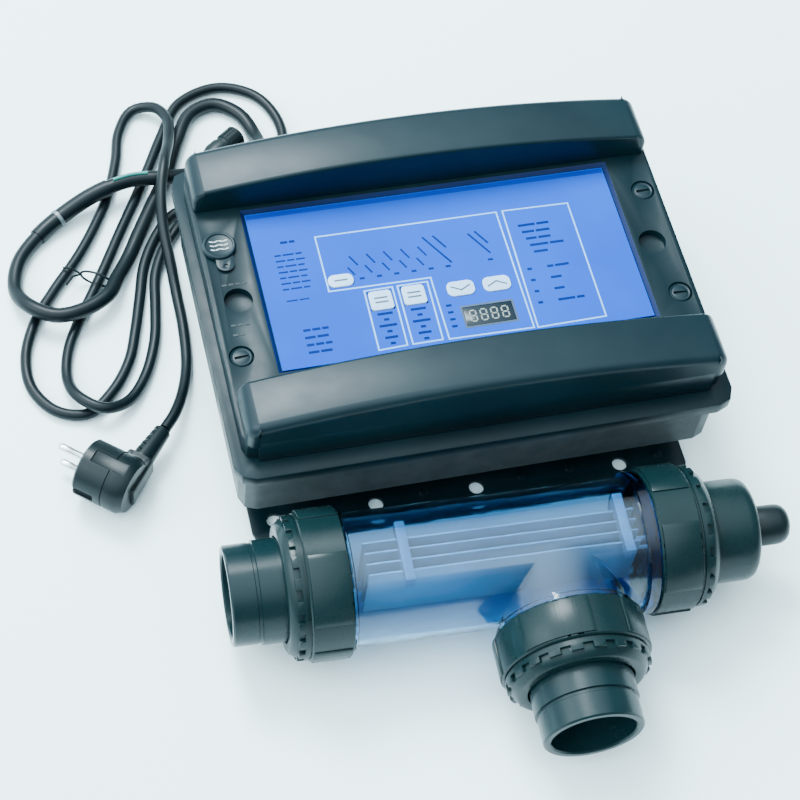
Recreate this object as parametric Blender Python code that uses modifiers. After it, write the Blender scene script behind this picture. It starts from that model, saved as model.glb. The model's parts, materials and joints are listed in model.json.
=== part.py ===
"""Pool salt chlorine generator: a control box lying on its back, its tee-shaped cell and their leads.

Metres, +Z up. The box's cables leave its far wall (+Y), and the cell lies in front of it (-Y).
"""

import math

import bmesh
import bpy
from mathutils import Vector

# ---------------------------------------------------------------- driving dimensions (metres)
BOX_PLACE = Vector((-0.0012, 0.0838, 0.0))     # middle of the control box
CELL_PLACE = Vector((-0.0012, -0.0924, 0.0463))  # the tube's axis above the floor
CELL_YAW = math.radians(-2.4)                  # the cell lies a little askew to the box

GAP = 0.0003                                   # between pieces that touch
FLANGE_X, FLANGE_Y = 0.1556, 0.1162            # half sizes of the base's rim
RIM_LOW, RIM_TOP = 0.0765, 0.0850
TRAY_X, TRAY_Y, TRAY_LOW = 0.1510, 0.1070, 0.0320
FOOT_X, FOOT_Y = 0.1220, 0.0800                # narrower rear section of the base
WALL = 0.0035
PLATE_X, PLATE_Y, PLATE_TOP = 0.1430, 0.1116, 0.0030
LID_X, LID_Y, LID_TOP = 0.1495, 0.1025, 0.1010
DECK_LOW = 0.0940
WINDOW_X, WINDOW_Y, WINDOW_FLOOR = 0.1180, 0.0593, 0.0978
WINDOW_MID_X, WINDOW_MID_Y = 0.0008, 0.0053
LABEL_LOW, LABEL_TOP = 0.0981, 0.0989
BAR_OUT, BAR_IN, BAR_END = 0.1050, 0.0695, 0.1480
BAR_TOP, BAR_BOW = 0.1300, 0.0120
SCREW_X, SCREW_Y = 0.1390, 0.0405
SIDE_HOLE_X, SIDE_HOLE_R = 0.1330, 0.0088
GLAND_Z = 0.0520
MAINS_GLAND_X, CELL_GLAND_X = -0.1180, -0.0800

TUBE_R, TUBE_BORE = 0.0404, 0.0369
BRANCH_R, BRANCH_BORE = 0.0385, 0.0350
TEE_X = 0.0227
NUT_R, NUT_LONG, NUT_BORE = 0.0415, 0.0374, 0.0409
NUT_LUG_R = 0.0461
TAIL_R, TAIL_BORE = 0.0300, 0.0245
LEFT_NUT_X, RIGHT_NUT_X, BRANCH_NUT_OUT = -0.1032, 0.0810, 0.0498   # each nut's inner edge
TUBE_IN_NUT = 0.0093                           # how far the tube runs into a nut
TAIL_PROUD = 0.0316                            # tail beyond the nut

BOARD_POSTS = ((-0.106, -0.050), (0.012, -0.050), (-0.106, 0.050), (0.012, 0.050))
MAINS_D, CELL_CABLE_D = 0.0075, 0.0100

# Routes of the leads on the floor, in millimetres from the middle of the box.
MAINS_ROUTE = (
    (-118, 131, 52), (-118.3, 139, 50.5), (-122, 146, 41), (-129, 145, 26), (-138, 138, 12), (-150, 128.5, 4.6), (-161, 113, 4.3),
    (-169, 94, 4.3), (-173, 70, 4.3), (-178, 44, 4.3), (-189, 17, 4.3), (-203, -1, 7), (-219, -7, 13.0),
    (-233, 4, 12.6), (-238, 22, 6), (-235, 43, 4.3), (-226, 64, 4.3), (-213, 86, 4.3), (-200, 109, 4.3),
    (-187, 133, 4.3), (-173, 158, 4.3), (-159, 184, 4.3), (-144, 213, 4.3), (-127, 240, 4.3), (-98, 250, 4.3),
    (-73, 239, 4.3), (-61, 214, 4.3), (-63, 188, 4.3), (-80, 167, 4.3), (-103, 156, 4.3), (-128, 150, 4.3),
    (-149, 143, 4.3), (-163, 127, 4.3), (-175, 104, 4.3), (-182, 79, 4.3), (-189, 54, 4.3), (-197, 31, 4.3),
    (-211, 10, 4.3), (-229, -4, 4.3), (-248, 1, 4.3), (-261, 20, 4.3), (-262, 44, 4.3), (-253, 70, 4.3),
    (-236, 95, 4.3), (-217, 119, 4.3), (-201, 144, 4.3), (-188, 170, 4.3), (-179, 196, 4.3), (-173, 220, 4.3),
    (-161, 238, 4.8), (-146, 235, 9.5), (-139, 219, 14.5), (-142, 196, 20), (-149, 172, 27.5), (-155, 150, 24),
    (-158, 126, 16.5), (-157.5, 103, 10), (-157.5, 80, 4.5), (-158, 50, 4.3), (-161, 22, 4.6), (-167.5, -1, 9),
    (-176.5, -20.5, 14.4), (-184.6, -31.3, 16.2),
)
CELL_ROUTE = (
    (-80, 131.5, 52), (-80, 142, 50), (-80, 157, 38), (-80, 178, 18), (-80, 200, 6.5), (-87, 222, 5.5),
    (-103, 234, 5.5), (-121, 228, 5.5), (-134, 206, 5.5), (-147, 177, 5.5), (-161, 153, 5.5), (-173, 132, 5.5),
    (-184, 112, 5.5), (-194, 95, 8.5), (-203, 79, 13), (-220, 69, 14.8), (-238, 67, 15.4), (-254, 78, 14.4),
    (-261, 98, 6.5), (-256, 120, 5.5), (-240, 140, 5.5), (-219, 154, 9), (-197, 163, 14), (-173, 168, 16.8),
    (-150, 167, 16.8), (-133, 172, 14), (-118, 181, 9.8),
)
PLUG_FACE = Vector((-0.2370, -0.0510, 0.0195))
PLUG_OUT = Vector((-0.775, 0.632, 0.0)).normalized()   # the way the pins point
PLUG_ARM = Vector((0.670, 0.742, 0.0)).normalized()    # the way the lead leaves
CONNECTOR_OUT = Vector((0.786, 0.618, -0.01)).normalized()
CONNECTOR_PLACE = Vector((-0.1180, 0.1812, 0.0098)) + CONNECTOR_OUT * 0.0008


# ---------------------------------------------------------------- scene, materials and helpers
def clear_scene():
    for old in list(bpy.data.objects):
        bpy.data.objects.remove(old, do_unlink=True)


clear_scene()
PARTS = bpy.data.collections.new("salt_chlorine_generator")
CUTTERS = bpy.data.collections.new("cutters")
for collection in (PARTS, CUTTERS):
    bpy.context.scene.collection.children.link(collection)


def finish(name, colour, roughness, metallic=0.0, alpha=1.0):
    """A plain Principled material."""
    material = bpy.data.materials.new(name)
    material.use_nodes = True
    shader = material.node_tree.nodes["Principled BSDF"]
    shader.inputs["Base Color"].default_value = (*colour, 1.0)
    shader.inputs["Roughness"].default_value = roughness
    shader.inputs["Metallic"].default_value = metallic
    shader.inputs["Alpha"].default_value = alpha
    return material


BLACK = finish("black_plastic", (0.012, 0.014, 0.015), 0.35)
UNION_BLACK = finish("union_black", (0.020, 0.024, 0.025), 0.28)
PANEL_BLUE = finish("panel_blue", (0.09, 0.36, 0.86), 0.40)
BUTTON_WHITE = finish("button_white", (0.86, 0.88, 0.90), 0.45)
CLEAR_BLUE = finish("clear_blue", (0.30, 0.52, 0.80), 0.08, alpha=0.35)
DARK_WINDOW = finish("dark_window", (0.02, 0.02, 0.025), 0.12)
RUBBER = finish("rubber", (0.015, 0.015, 0.016), 0.75)
TITANIUM = finish("titanium", (0.42, 0.42, 0.44), 0.40, 0.9)
NICKEL = finish("nickel", (0.72, 0.72, 0.70), 0.22, 1.0)
STEEL = finish("steel", (0.55, 0.55, 0.56), 0.30, 1.0)
ALUMINIUM = finish("aluminium", (0.70, 0.71, 0.72), 0.35, 0.9)
COPPER = finish("copper", (0.72, 0.36, 0.18), 0.35, 0.9)
BOARD_GREEN = finish("board_green", (0.03, 0.20, 0.08), 0.45)
TERMINAL_GREY = finish("terminal_grey", (0.30, 0.31, 0.32), 0.55)


def frame(name, place, yaw=0.0):
    """An empty that a sub-assembly's pieces are placed from."""
    empty = bpy.data.objects.new(name, None)
    empty.location = place
    empty.rotation_euler = (0.0, 0.0, yaw)
    PARTS.objects.link(empty)
    return empty


BOX = frame("box_frame", BOX_PLACE)
CELL = frame("cell_frame", CELL_PLACE, CELL_YAW)


def place(name, mesh, parent, material=None, location=(0, 0, 0), rotation=(0, 0, 0)):
    """Links a mesh as a part, or as a hidden cutter where it has no material."""
    obj = bpy.data.objects.new(name, mesh)
    obj.parent = parent
    obj.location = location
    obj.rotation_euler = rotation
    if material is None:
        CUTTERS.objects.link(obj)
        obj.hide_render = True
        obj.display_type = "WIRE"
    else:
        mesh.materials.append(material)
        PARTS.objects.link(obj)
    return obj


def mesh_of(name, shape):
    mesh = bpy.data.meshes.new(name)
    bmesh.ops.recalc_face_normals(shape, faces=shape.faces)
    shape.to_mesh(mesh)
    shape.free()
    return mesh


def block(name, low, high, parent, material=None, corner=0.0, edge=0.0, taper=None):
    """A box between two corners; corner chamfers its upright edges, edge the rest, taper its floor."""
    shape = bmesh.new()
    bmesh.ops.create_cube(shape, size=1.0)
    low, high = Vector(low), Vector(high)
    size, middle = high - low, (high + low) / 2
    for vert in shape.verts:
        vert.co = Vector(a * b for a, b in zip(vert.co, size)) + middle
        if taper and vert.co.z < middle.z:
            vert.co.x *= taper[0]
            vert.co.y *= taper[1]
    if corner:
        upright = [e for e in shape.edges if abs(e.verts[0].co.z - e.verts[1].co.z) > size.z / 2]
        bmesh.ops.bevel(shape, geom=upright, offset=corner, segments=2, affect="EDGES", profile=0.5)
    if edge:
        bmesh.ops.bevel(shape, geom=list(shape.edges), offset=edge, segments=1, affect="EDGES", profile=0.5)
    return place(name, mesh_of(name, shape), parent, material)


def rod(name, radius, low, high, parent, material=None, centre=(0, 0), axis="Z", sides=32, oval=1.0):
    """A round bar along an axis of its parent; centre gives the two other coordinates."""
    shape = bmesh.new()
    bmesh.ops.create_cone(shape, cap_ends=True, segments=sides, radius1=radius, radius2=radius, depth=high - low)
    for vert in shape.verts:
        vert.co.y *= oval
    middle = (low + high) / 2
    turns = {"Z": (0, 0, 0), "X": (0, math.pi / 2, 0), "-Y": (math.pi / 2, 0, 0)}
    spots = {
        "Z": (centre[0], centre[1], middle),
        "X": (middle, centre[0], centre[1]),
        "-Y": (centre[0], -middle, centre[1]),
    }
    return place(name, mesh_of(name, shape), parent, material, spots[axis], turns[axis])


def turned(name, profile, parent, material=None, location=(0, 0, 0), rotation=(0, 0, 0), steps=40, ring=True):
    """A turned shape from (radius, height) points, down its outer side; ring joins the last to the first."""
    shape = bmesh.new()
    points = [shape.verts.new((radius, 0.0, height)) for radius, height in profile]
    for first, second in zip(points, points[1:]):
        shape.edges.new((first, second))
    if ring:
        shape.edges.new((points[-1], points[0]))
    mesh = bpy.data.meshes.new(name)
    shape.to_mesh(mesh)
    shape.free()
    obj = place(name, mesh, parent, material, location, rotation)
    screw = obj.modifiers.new("turn", "SCREW")
    screw.steps = screw.render_steps = steps
    screw.use_merge_vertices = True
    screw.merge_threshold = 0.00001
    return obj


ALONG_X = (0, math.pi / 2, 0)
ALONG_MINUS_X = (0, -math.pi / 2, 0)
ALONG_MINUS_Y = (math.pi / 2, 0, 0)
ALONG_Y = (-math.pi / 2, 0, 0)


def cut(obj, *cutters):
    for cutter in cutters:
        change = obj.modifiers.new("cut", "BOOLEAN")
        change.operation, change.object, change.solver = "DIFFERENCE", cutter, "EXACT"


def join(obj, *others):
    for other in others:
        change = obj.modifiers.new("join", "BOOLEAN")
        change.operation, change.object, change.solver = "UNION", other, "EXACT"


def rotation_to(direction):
    """The Euler turn that takes +Z to a direction."""
    return direction.to_track_quat("Z", "Y").to_euler()


# ---------------------------------------------------------------- control box, fixed parts
def build_base():
    """Stepped tray with a rim, its mounting plate and the screws that join them."""
    base = block("base_housing", (-TRAY_X, -TRAY_Y, TRAY_LOW), (TRAY_X, TRAY_Y, RIM_LOW + 0.002), BOX, BLACK, 0.010)
    rim = block("rim_shape", (-FLANGE_X, -FLANGE_Y, RIM_LOW), (FLANGE_X, FLANGE_Y, RIM_TOP), BOX, corner=0.0113)
    foot = block("foot_shape", (-FOOT_X, -FOOT_Y, PLATE_TOP + GAP), (FOOT_X, FOOT_Y, TRAY_LOW + 0.002), BOX, corner=0.006)
    join(base, rim, foot)
    tray_room = block(
        "tray_room",
        (-TRAY_X + WALL, -TRAY_Y + WALL, TRAY_LOW + WALL),
        (TRAY_X - WALL, TRAY_Y - WALL, RIM_LOW),
        BOX,
        corner=0.007,
    )
    mouth = block("mouth_room", (-0.139, -0.095, RIM_LOW - 0.01), (0.139, 0.095, RIM_TOP + 0.01), BOX, corner=0.006)
    foot_room = block(
        "foot_room", (-FOOT_X + WALL, -FOOT_Y + WALL, 0.0068), (FOOT_X - WALL, FOOT_Y - WALL, 0.05), BOX, corner=0.004
    )
    cut(base, tray_room, mouth, foot_room)
    for x, y in BOARD_POSTS:
        join(base, rod("board_post", 0.0035, 0.0050, 0.0127, BOX, centre=(x, y), sides=14))
    for name, x, radius in (("mains_gland_hole", MAINS_GLAND_X, 0.0082), ("cell_gland_hole", CELL_GLAND_X, 0.0102)):
        cut(base, rod(name, radius, -TRAY_Y - 0.01, -TRAY_Y + 0.01, BOX, centre=(x, GLAND_Z), axis="-Y"))

    plate = block("wall_plate", (-PLATE_X, -PLATE_Y, 0.0), (PLATE_X, PLATE_Y, PLATE_TOP), BOX, BLACK, 0.004)
    for x in (-0.128, -0.0625, 0.0034, 0.0995):
        for side in (-1, 1):
            cut(plate, rod("plate_hole", 0.0048, -0.01, 0.01, BOX, centre=(x, side * 0.101), sides=20))
    for number, (x, y) in enumerate(((-0.1130, 0.070), (0.1130, -0.070)), 1):
        cut(base, rod("plate_screw_hole", 0.0024, -0.01, 0.02, BOX, centre=(x, y), sides=16))
        cut(plate, rod("plate_screw_hole", 0.0024, -0.01, 0.02, BOX, centre=(x, y), sides=16))
        turned(
            f"plate_screw_{number}",
            ((0.0, 0.0092), (0.0030, 0.0090), (0.0040, 0.0082), (0.0040, 0.0071), (0.0020, 0.0071), (0.0020, 0.0004), (0.0, 0.0004)),
            BOX, STEEL, (x, y, 0), steps=16, ring=False,
        )


def build_gasket():
    gasket = block("lid_gasket", (-0.1455, -0.0988, RIM_TOP + GAP), (0.1455, 0.0988, 0.0878), BOX, RUBBER, 0.006)
    cut(gasket, block("gasket_room", (-0.1415, -0.0958, 0.08), (0.1415, 0.0958, 0.09), BOX, corner=0.004))


def build_gland(name, x, lead_r, body_r, hole_r):
    """A cable gland through the far wall, with its nut inside."""
    wall = TRAY_Y
    bore = lead_r + 0.0006
    turned(
        f"{name}_gland",
        (
            (bore + 0.0012, 0.0225), (body_r - 0.0016, 0.0205), (body_r, 0.0150), (body_r, 0.0063),
            (body_r + 0.0015, 0.0063), (body_r + 0.0015, GAP), (hole_r - GAP, GAP), (hole_r - GAP, -0.0095), (bore, -0.0095), (bore, 0.0225),
        ),
        BOX, BLACK, (x, wall, GLAND_Z), ALONG_Y, steps=24,
    )
    turned(
        f"{name}_gland_nut",
        ((body_r + 0.0015, -WALL - GAP), (body_r + 0.0015, -0.0085), (hole_r, -0.0085), (hole_r, -WALL - GAP)),
        BOX, BLACK, (x, wall, GLAND_Z), ALONG_Y, steps=24,
    )


def build_power_side():
    """What the base holds: board on posts, transformer, heat sink and the parts on the board."""
    board = block("power_board", (-0.112, -0.062, 0.0130), (0.018, 0.062, 0.0146), BOX, BOARD_GREEN)
    for x, y in BOARD_POSTS:
        cut(board, rod("post_hole", 0.0016, 0.0, 0.02, BOX, centre=(x, y), sides=12))
    turned(
        "transformer_winding",
        ((0.0340, 0.0450), (0.0380, 0.0410), (0.0380, 0.0111), (0.0340, 0.0071), (0.0170, 0.0071), (0.0130, 0.0111), (0.0130, 0.0410), (0.0170, 0.0450)),
        BOX, COPPER, (0.068, 0, 0), steps=32,
    )
    turned(
        "transformer_bolt",
        ((0.0, 0.0500), (0.0060, 0.0500), (0.0060, 0.0470), (0.0220, 0.0465), (0.0220, 0.0453), (0.0030, 0.0453), (0.0030, 0.0071), (0.0, 0.0071)),
        BOX, STEEL, (0.068, 0, 0), steps=24, ring=False,
    )
    sink = block("heat_sink", (-0.102, -0.046, 0.0149), (-0.060, -0.002, 0.0190), BOX, ALUMINIUM)
    for fin in range(6):
        low = -0.102 + fin * 0.0081
        join(sink, block("fin_shape", (low, -0.046, 0.0180), (low + 0.0015, -0.002, 0.0460), BOX))
    block("relay", (-0.046, -0.040, 0.0149), (-0.018, -0.027, 0.0300), BOX, TERMINAL_GREY, edge=0.0006)
    block("terminal_block", (-0.100, 0.026, 0.0149), (-0.050, 0.038, 0.0310), BOX, TERMINAL_GREY, edge=0.0006)
    block("fuse_holder", (-0.042, 0.022, 0.0149), (-0.018, 0.031, 0.0250), BOX, DARK_WINDOW, edge=0.0006)
    turned(
        "capacitor", ((0.0, 0.0440), (0.0094, 0.0440), (0.0100, 0.0434), (0.0100, 0.0149), (0.0, 0.0149)),
        BOX, DARK_WINDOW, (-0.030, -0.004, 0), steps=20, ring=False,
    )


# ---------------------------------------------------------------- control box, lid and what rides on it
BUTTONS = (  # name, middle x and y, half sizes, round ends
    ("mode_button", -0.0680, 0.0049, 0.0080, 0.0046, True),
    ("menu_button_left", -0.0467, -0.0137, 0.0072, 0.0070, False),
    ("menu_button_right", -0.0257, -0.0132, 0.0072, 0.0070, False),
    ("down_button", 0.0040, -0.0133, 0.0088, 0.0054, True),
    ("up_button", 0.0271, -0.0135, 0.0088, 0.0054, True),
)
DISPLAY_X, DISPLAY_Y, DISPLAY_HALF = 0.0169, -0.0346, (0.0158, 0.0072)


def key_shape(name, key, low, high, grow, material=None):
    """The outline of a button, a little larger for its opening."""
    _, x, y, half_x, half_y, round_ends = key
    corner = half_y * 0.95 if round_ends else 0.0012
    shape = bmesh.new()
    bmesh.ops.create_cube(shape, size=1.0)
    for vert in shape.verts:
        vert.co.x *= 2 * (half_x + grow)
        vert.co.y *= 2 * (half_y + grow)
        vert.co.z *= high - low
    upright = [e for e in shape.edges if abs(e.verts[0].co.z - e.verts[1].co.z) > (high - low) / 2]
    bmesh.ops.bevel(shape, geom=upright, offset=corner, segments=5, affect="EDGES", profile=0.5)
    return place(name, mesh_of(name, shape), BOX, material, (x, y, (low + high) / 2))


def build_lid():
    lid = block("lid", (-LID_X, -LID_Y, RIM_TOP + GAP), (LID_X, LID_Y, LID_TOP), BOX, BLACK, 0.008)
    cut(lid, block("lid_room", (-LID_X + 0.003, -LID_Y + 0.003, 0.08), (LID_X - 0.003, LID_Y - 0.003, DECK_LOW), BOX, corner=0.006))
    window = block(
        "window_cutter", (-0.1224, -0.0637, WINDOW_FLOOR), (0.1224, 0.0637, 2 * LID_TOP - WINDOW_FLOOR), BOX,
        taper=(WINDOW_X / 0.1224, WINDOW_Y / 0.0637),
    )
    window.location = (WINDOW_MID_X, WINDOW_MID_Y, 0.0)
    cut(lid, window)
    for x in (-SCREW_X, SCREW_X):
        for y in (-SCREW_Y, SCREW_Y):
            cut(lid, rod("screw_pocket", 0.0076, LID_TOP - 0.0045, LID_TOP + 0.01, BOX, centre=(x, y), sides=28))
            cut(lid, rod("screw_hole", 0.0034, 0.08, LID_TOP, BOX, centre=(x, y), sides=16))
        cut(lid, rod("side_hole", SIDE_HOLE_R, LID_TOP - 0.0055, LID_TOP + 0.01, BOX, centre=(math.copysign(SIDE_HOLE_X, x), 0), sides=28))
    for key in BUTTONS:
        cut(lid, key_shape("key_room", key, 0.09, 0.12, 0.0004))
    cut(lid, block(
        "display_room",
        (DISPLAY_X - DISPLAY_HALF[0], DISPLAY_Y - DISPLAY_HALF[1], 0.09),
        (DISPLAY_X + DISPLAY_HALF[0], DISPLAY_Y + DISPLAY_HALF[1], 0.12), BOX,
    ))
    return lid


def build_label():
    half_x, half_y = WINDOW_X - 0.0004, WINDOW_Y - 0.0004
    label = block(
        "panel_label",
        (WINDOW_MID_X - half_x, WINDOW_MID_Y - half_y, LABEL_LOW),
        (WINDOW_MID_X + half_x, WINDOW_MID_Y + half_y, LABEL_TOP),
        BOX, PANEL_BLUE,
    )
    for key in BUTTONS:
        cut(label, key_shape("key_room", key, 0.09, 0.12, 0.0004))
        key_shape(key[0], key, 0.0960, LABEL_TOP + 0.0007, 0.0, BUTTON_WHITE)
    half_x, half_y = DISPLAY_HALF
    cut(label, block(
        "display_window_room", (DISPLAY_X - half_x, DISPLAY_Y - half_y, 0.09), (DISPLAY_X + half_x, DISPLAY_Y + half_y, 0.12), BOX,
    ))
    half_x, half_y = half_x - GAP, half_y - GAP
    block("display_window", (DISPLAY_X - half_x, DISPLAY_Y - half_y, 0.0977), (DISPLAY_X + half_x, DISPLAY_Y + half_y, LABEL_TOP), BOX, DARK_WINDOW)
    block("display_module", (DISPLAY_X - half_x, DISPLAY_Y - half_y, 0.0902), (DISPLAY_X + half_x, DISPLAY_Y + half_y, 0.0974), BOX, TERMINAL_GREY)
    block("control_board", (-0.080, -0.053, 0.0883), (0.060, 0.032, 0.0899), BOX, BOARD_GREEN)


def build_lid_screws():
    """Four slotted quarter-turn screws; the far left one sits under the round cap."""
    for number, (x, y) in enumerate(((-SCREW_X, -SCREW_Y), (SCREW_X, -SCREW_Y), (SCREW_X, SCREW_Y), (-SCREW_X, SCREW_Y)), 1):
        screw = turned(
            f"lid_screw_{number}",
            ((0.0, -0.0004), (0.0062, -0.0004), (0.0070, -0.0012), (0.0070, -0.0041), (0.0030, -0.0041), (0.0030, -0.0126), (0.0, -0.0126)),
            BOX, BLACK, (x, y, LID_TOP), steps=28, ring=False,
        )
        cut(screw, block(f"slot_{number}", (x - 0.0048, y - 0.0009, LID_TOP - 0.0022), (x + 0.0048, y + 0.0009, LID_TOP + 0.01), BOX))


def build_cap():
    """The round cap over the far left screw, with a lobe towards the lid's middle."""
    x, y = -0.1372, SCREW_Y
    cap = turned(
        "medallion_cap",
        ((0.0, 0.0030), (0.0070, 0.0030), (0.0078, 0.0036), (0.0092, 0.0036), (0.0104, 0.0024), (0.0104, GAP), (0.0, GAP)),
        BOX, BLACK, (x, y, LID_TOP), steps=32, ring=False,
    )
    lobe = rod("lobe_shape", 0.0056, LID_TOP + GAP, LID_TOP + 0.0020, BOX, centre=(x + 0.0015, y - 0.0135), sides=24)
    neck = block("neck_shape", (x - 0.0041, y - 0.0135, LID_TOP + GAP), (x + 0.0071, y, LID_TOP + 0.0018), BOX)
    join(cap, lobe, neck)


def build_bar(name, side):
    """A long bowed trim cover: side +1 is the far one, -1 the near one."""
    shape = bmesh.new()
    steps = 16
    end_top = BAR_TOP - BAR_BOW
    outline = [(-0.141, RIM_TOP + 0.0005), (0.141, RIM_TOP + 0.0005), (0.141, LID_TOP + GAP), (BAR_END, LID_TOP + GAP), (BAR_END, end_top - 0.006)]
    for step in range(steps + 1):
        x = (BAR_END - 0.004) * (1 - 2 * step / steps)
        outline.append((x, end_top - 0.001 + (BAR_BOW + 0.001) * (1 - (x / BAR_END) ** 2)))
    outline += [(-BAR_END, end_top - 0.006), (-BAR_END, LID_TOP + GAP), (-0.141, LID_TOP + GAP)]
    face = shape.faces.new([shape.verts.new((x, side * BAR_IN, z)) for x, z in outline])
    grown = bmesh.ops.extrude_face_region(shape, geom=[face])["geom"]
    outer = [v for v in grown if isinstance(v, bmesh.types.BMVert)]
    for vert in outer:
        vert.co.y = side * BAR_OUT
    top_edges = [e for e in shape.edges if all(v in outer and v.co.z > end_top - 0.007 for v in e.verts)]
    bmesh.ops.bevel(shape, geom=top_edges, offset=0.0060, segments=2, affect="EDGES", profile=0.5)
    bar = place(name, mesh_of(name, shape), BOX, BLACK)
    near, far = sorted((side * (BAR_IN + 0.002), side * (BAR_OUT - 0.002)))
    cut(bar, block(f"{name}_room", (-0.1385, near, 0.07), (0.1385, far, 0.1150), BOX))
    near, far = sorted((side * (BAR_IN - 0.02), side * (BAR_OUT - 0.002)))
    cut(bar, block(f"{name}_seat", (-0.17, near, 0.07), (0.17, far, LID_TOP + GAP), BOX))


# ---------------------------------------------------------------- cell
def build_cell_body():
    """The clear tee: equal tubes meeting, open at its three ends, with a shoulder beside each nut."""
    left, right = LEFT_NUT_X - TUBE_IN_NUT, RIGHT_NUT_X + TUBE_IN_NUT
    out = BRANCH_NUT_OUT + TUBE_IN_NUT
    body = rod("cell_body", TUBE_R, left, right, CELL, CLEAR_BLUE, axis="X", sides=56)
    join(body, rod("branch_shape", BRANCH_R, 0.001, out, CELL, centre=(TEE_X, 0), axis="-Y", sides=56))
    join(body, rod("left_shoulder", TUBE_R + 0.0016, LEFT_NUT_X + 0.0004, LEFT_NUT_X + 0.0024, CELL, axis="X", sides=56))
    join(body, rod("right_shoulder", TUBE_R + 0.0032, RIGHT_NUT_X - 0.0078, RIGHT_NUT_X - 0.0004, CELL, axis="X", sides=56))
    join(body, rod("branch_shoulder", BRANCH_R + 0.0036, BRANCH_NUT_OUT - 0.0044, BRANCH_NUT_OUT - 0.0004, CELL, centre=(TEE_X, 0), axis="-Y", sides=56))
    cut(body, rod("main_bore", TUBE_BORE, left - 0.01, right + 0.01, CELL, axis="X", sides=56))
    cut(body, rod("branch_bore", BRANCH_BORE, 0.0, out + 0.01, CELL, centre=(TEE_X, 0), axis="-Y", sides=56))


def nut_outline(radius, lug_radius, start, lugs=2, half=0.13, rim_steps=16):
    """Corner points of a lugged ring: lugs opposite each other, standing on a round rim."""
    points = []
    for lug in range(lugs):
        middle = start + 2 * math.pi * lug / lugs
        for turn, size in ((-half, radius), (-half * 0.86, lug_radius), (0, lug_radius), (half * 0.86, lug_radius), (half, radius)):
            points.append((size * math.cos(middle + turn), size * math.sin(middle + turn)))
        for step in range(1, rim_steps):
            turn = middle + half + step * (2 * math.pi / lugs - 2 * half) / rim_steps
            points.append((radius * math.cos(turn), radius * math.sin(turn)))
    return points


def build_nut(name, location, rotation, bore_r, opening_r, start):
    """A union nut: its inner edge at local zero, its shoulder and narrow opening towards +Z."""
    shape = bmesh.new()
    face = shape.faces.new([shape.verts.new((x, y, 0.0)) for x, y in nut_outline(NUT_R + 0.0034, NUT_LUG_R, start)])
    grown = bmesh.ops.extrude_face_region(shape, geom=[face])["geom"]
    bmesh.ops.translate(shape, verts=[v for v in grown if isinstance(v, bmesh.types.BMVert)], vec=(0, 0, 0.0310))
    nut = place(name, mesh_of(name, shape), CELL, UNION_BLACK, location, rotation)
    rear = turned(
        f"{name}_rear", ((0.0350, NUT_LONG), (0.0385, NUT_LONG), (0.0440, NUT_LONG - 0.0045), (0.0440, 0.0260), (0.0350, 0.0250)),
        CELL, location=location, rotation=rotation, steps=32,
    )
    join(nut, rear)
    room = turned(
        f"{name}_room",
        ((0.0, NUT_LONG + 0.01), (opening_r, NUT_LONG + 0.01), (opening_r, 0.0166), (bore_r, 0.0166), (bore_r, -0.01), (0.0, -0.01)),
        CELL, location=location, rotation=rotation, steps=40, ring=False,
    )
    cut(nut, room)


def build_union(side, location, rotation):
    """One union with its tail and seal, on an axis whose +Z points out of the tube."""
    start = math.radians({"left": 52, "right": 128, "branch": 16}[side])
    build_nut(f"{side}_union_nut", location, rotation, NUT_BORE, 0.0322, start)
    outer = BRANCH_R if side == "branch" else TUBE_R
    turned(
        f"{side}_face_seal",
        ((outer - 0.0006, 0.0121), (outer - 0.0006, 0.0096), (outer - 0.0032, 0.0096), (outer - 0.0032, 0.0121)),
        CELL, RUBBER, location, rotation, steps=32,
    )
    end = NUT_LONG + TAIL_PROUD
    if side == "right":
        return
    turned(
        f"{side}_tail",
        (
            (TAIL_R - 0.0008, end), (TAIL_R, end - 0.0010), (TAIL_R, end - 0.0163), (TAIL_R + 0.0010, end - 0.0166),
            (TAIL_R + 0.0010, 0.0163), (0.0396, 0.0163), (0.0396, 0.0124), (TAIL_BORE, 0.0124), (TAIL_BORE, end),
        ),
        CELL, UNION_BLACK, location, rotation, steps=48,
    )


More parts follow.
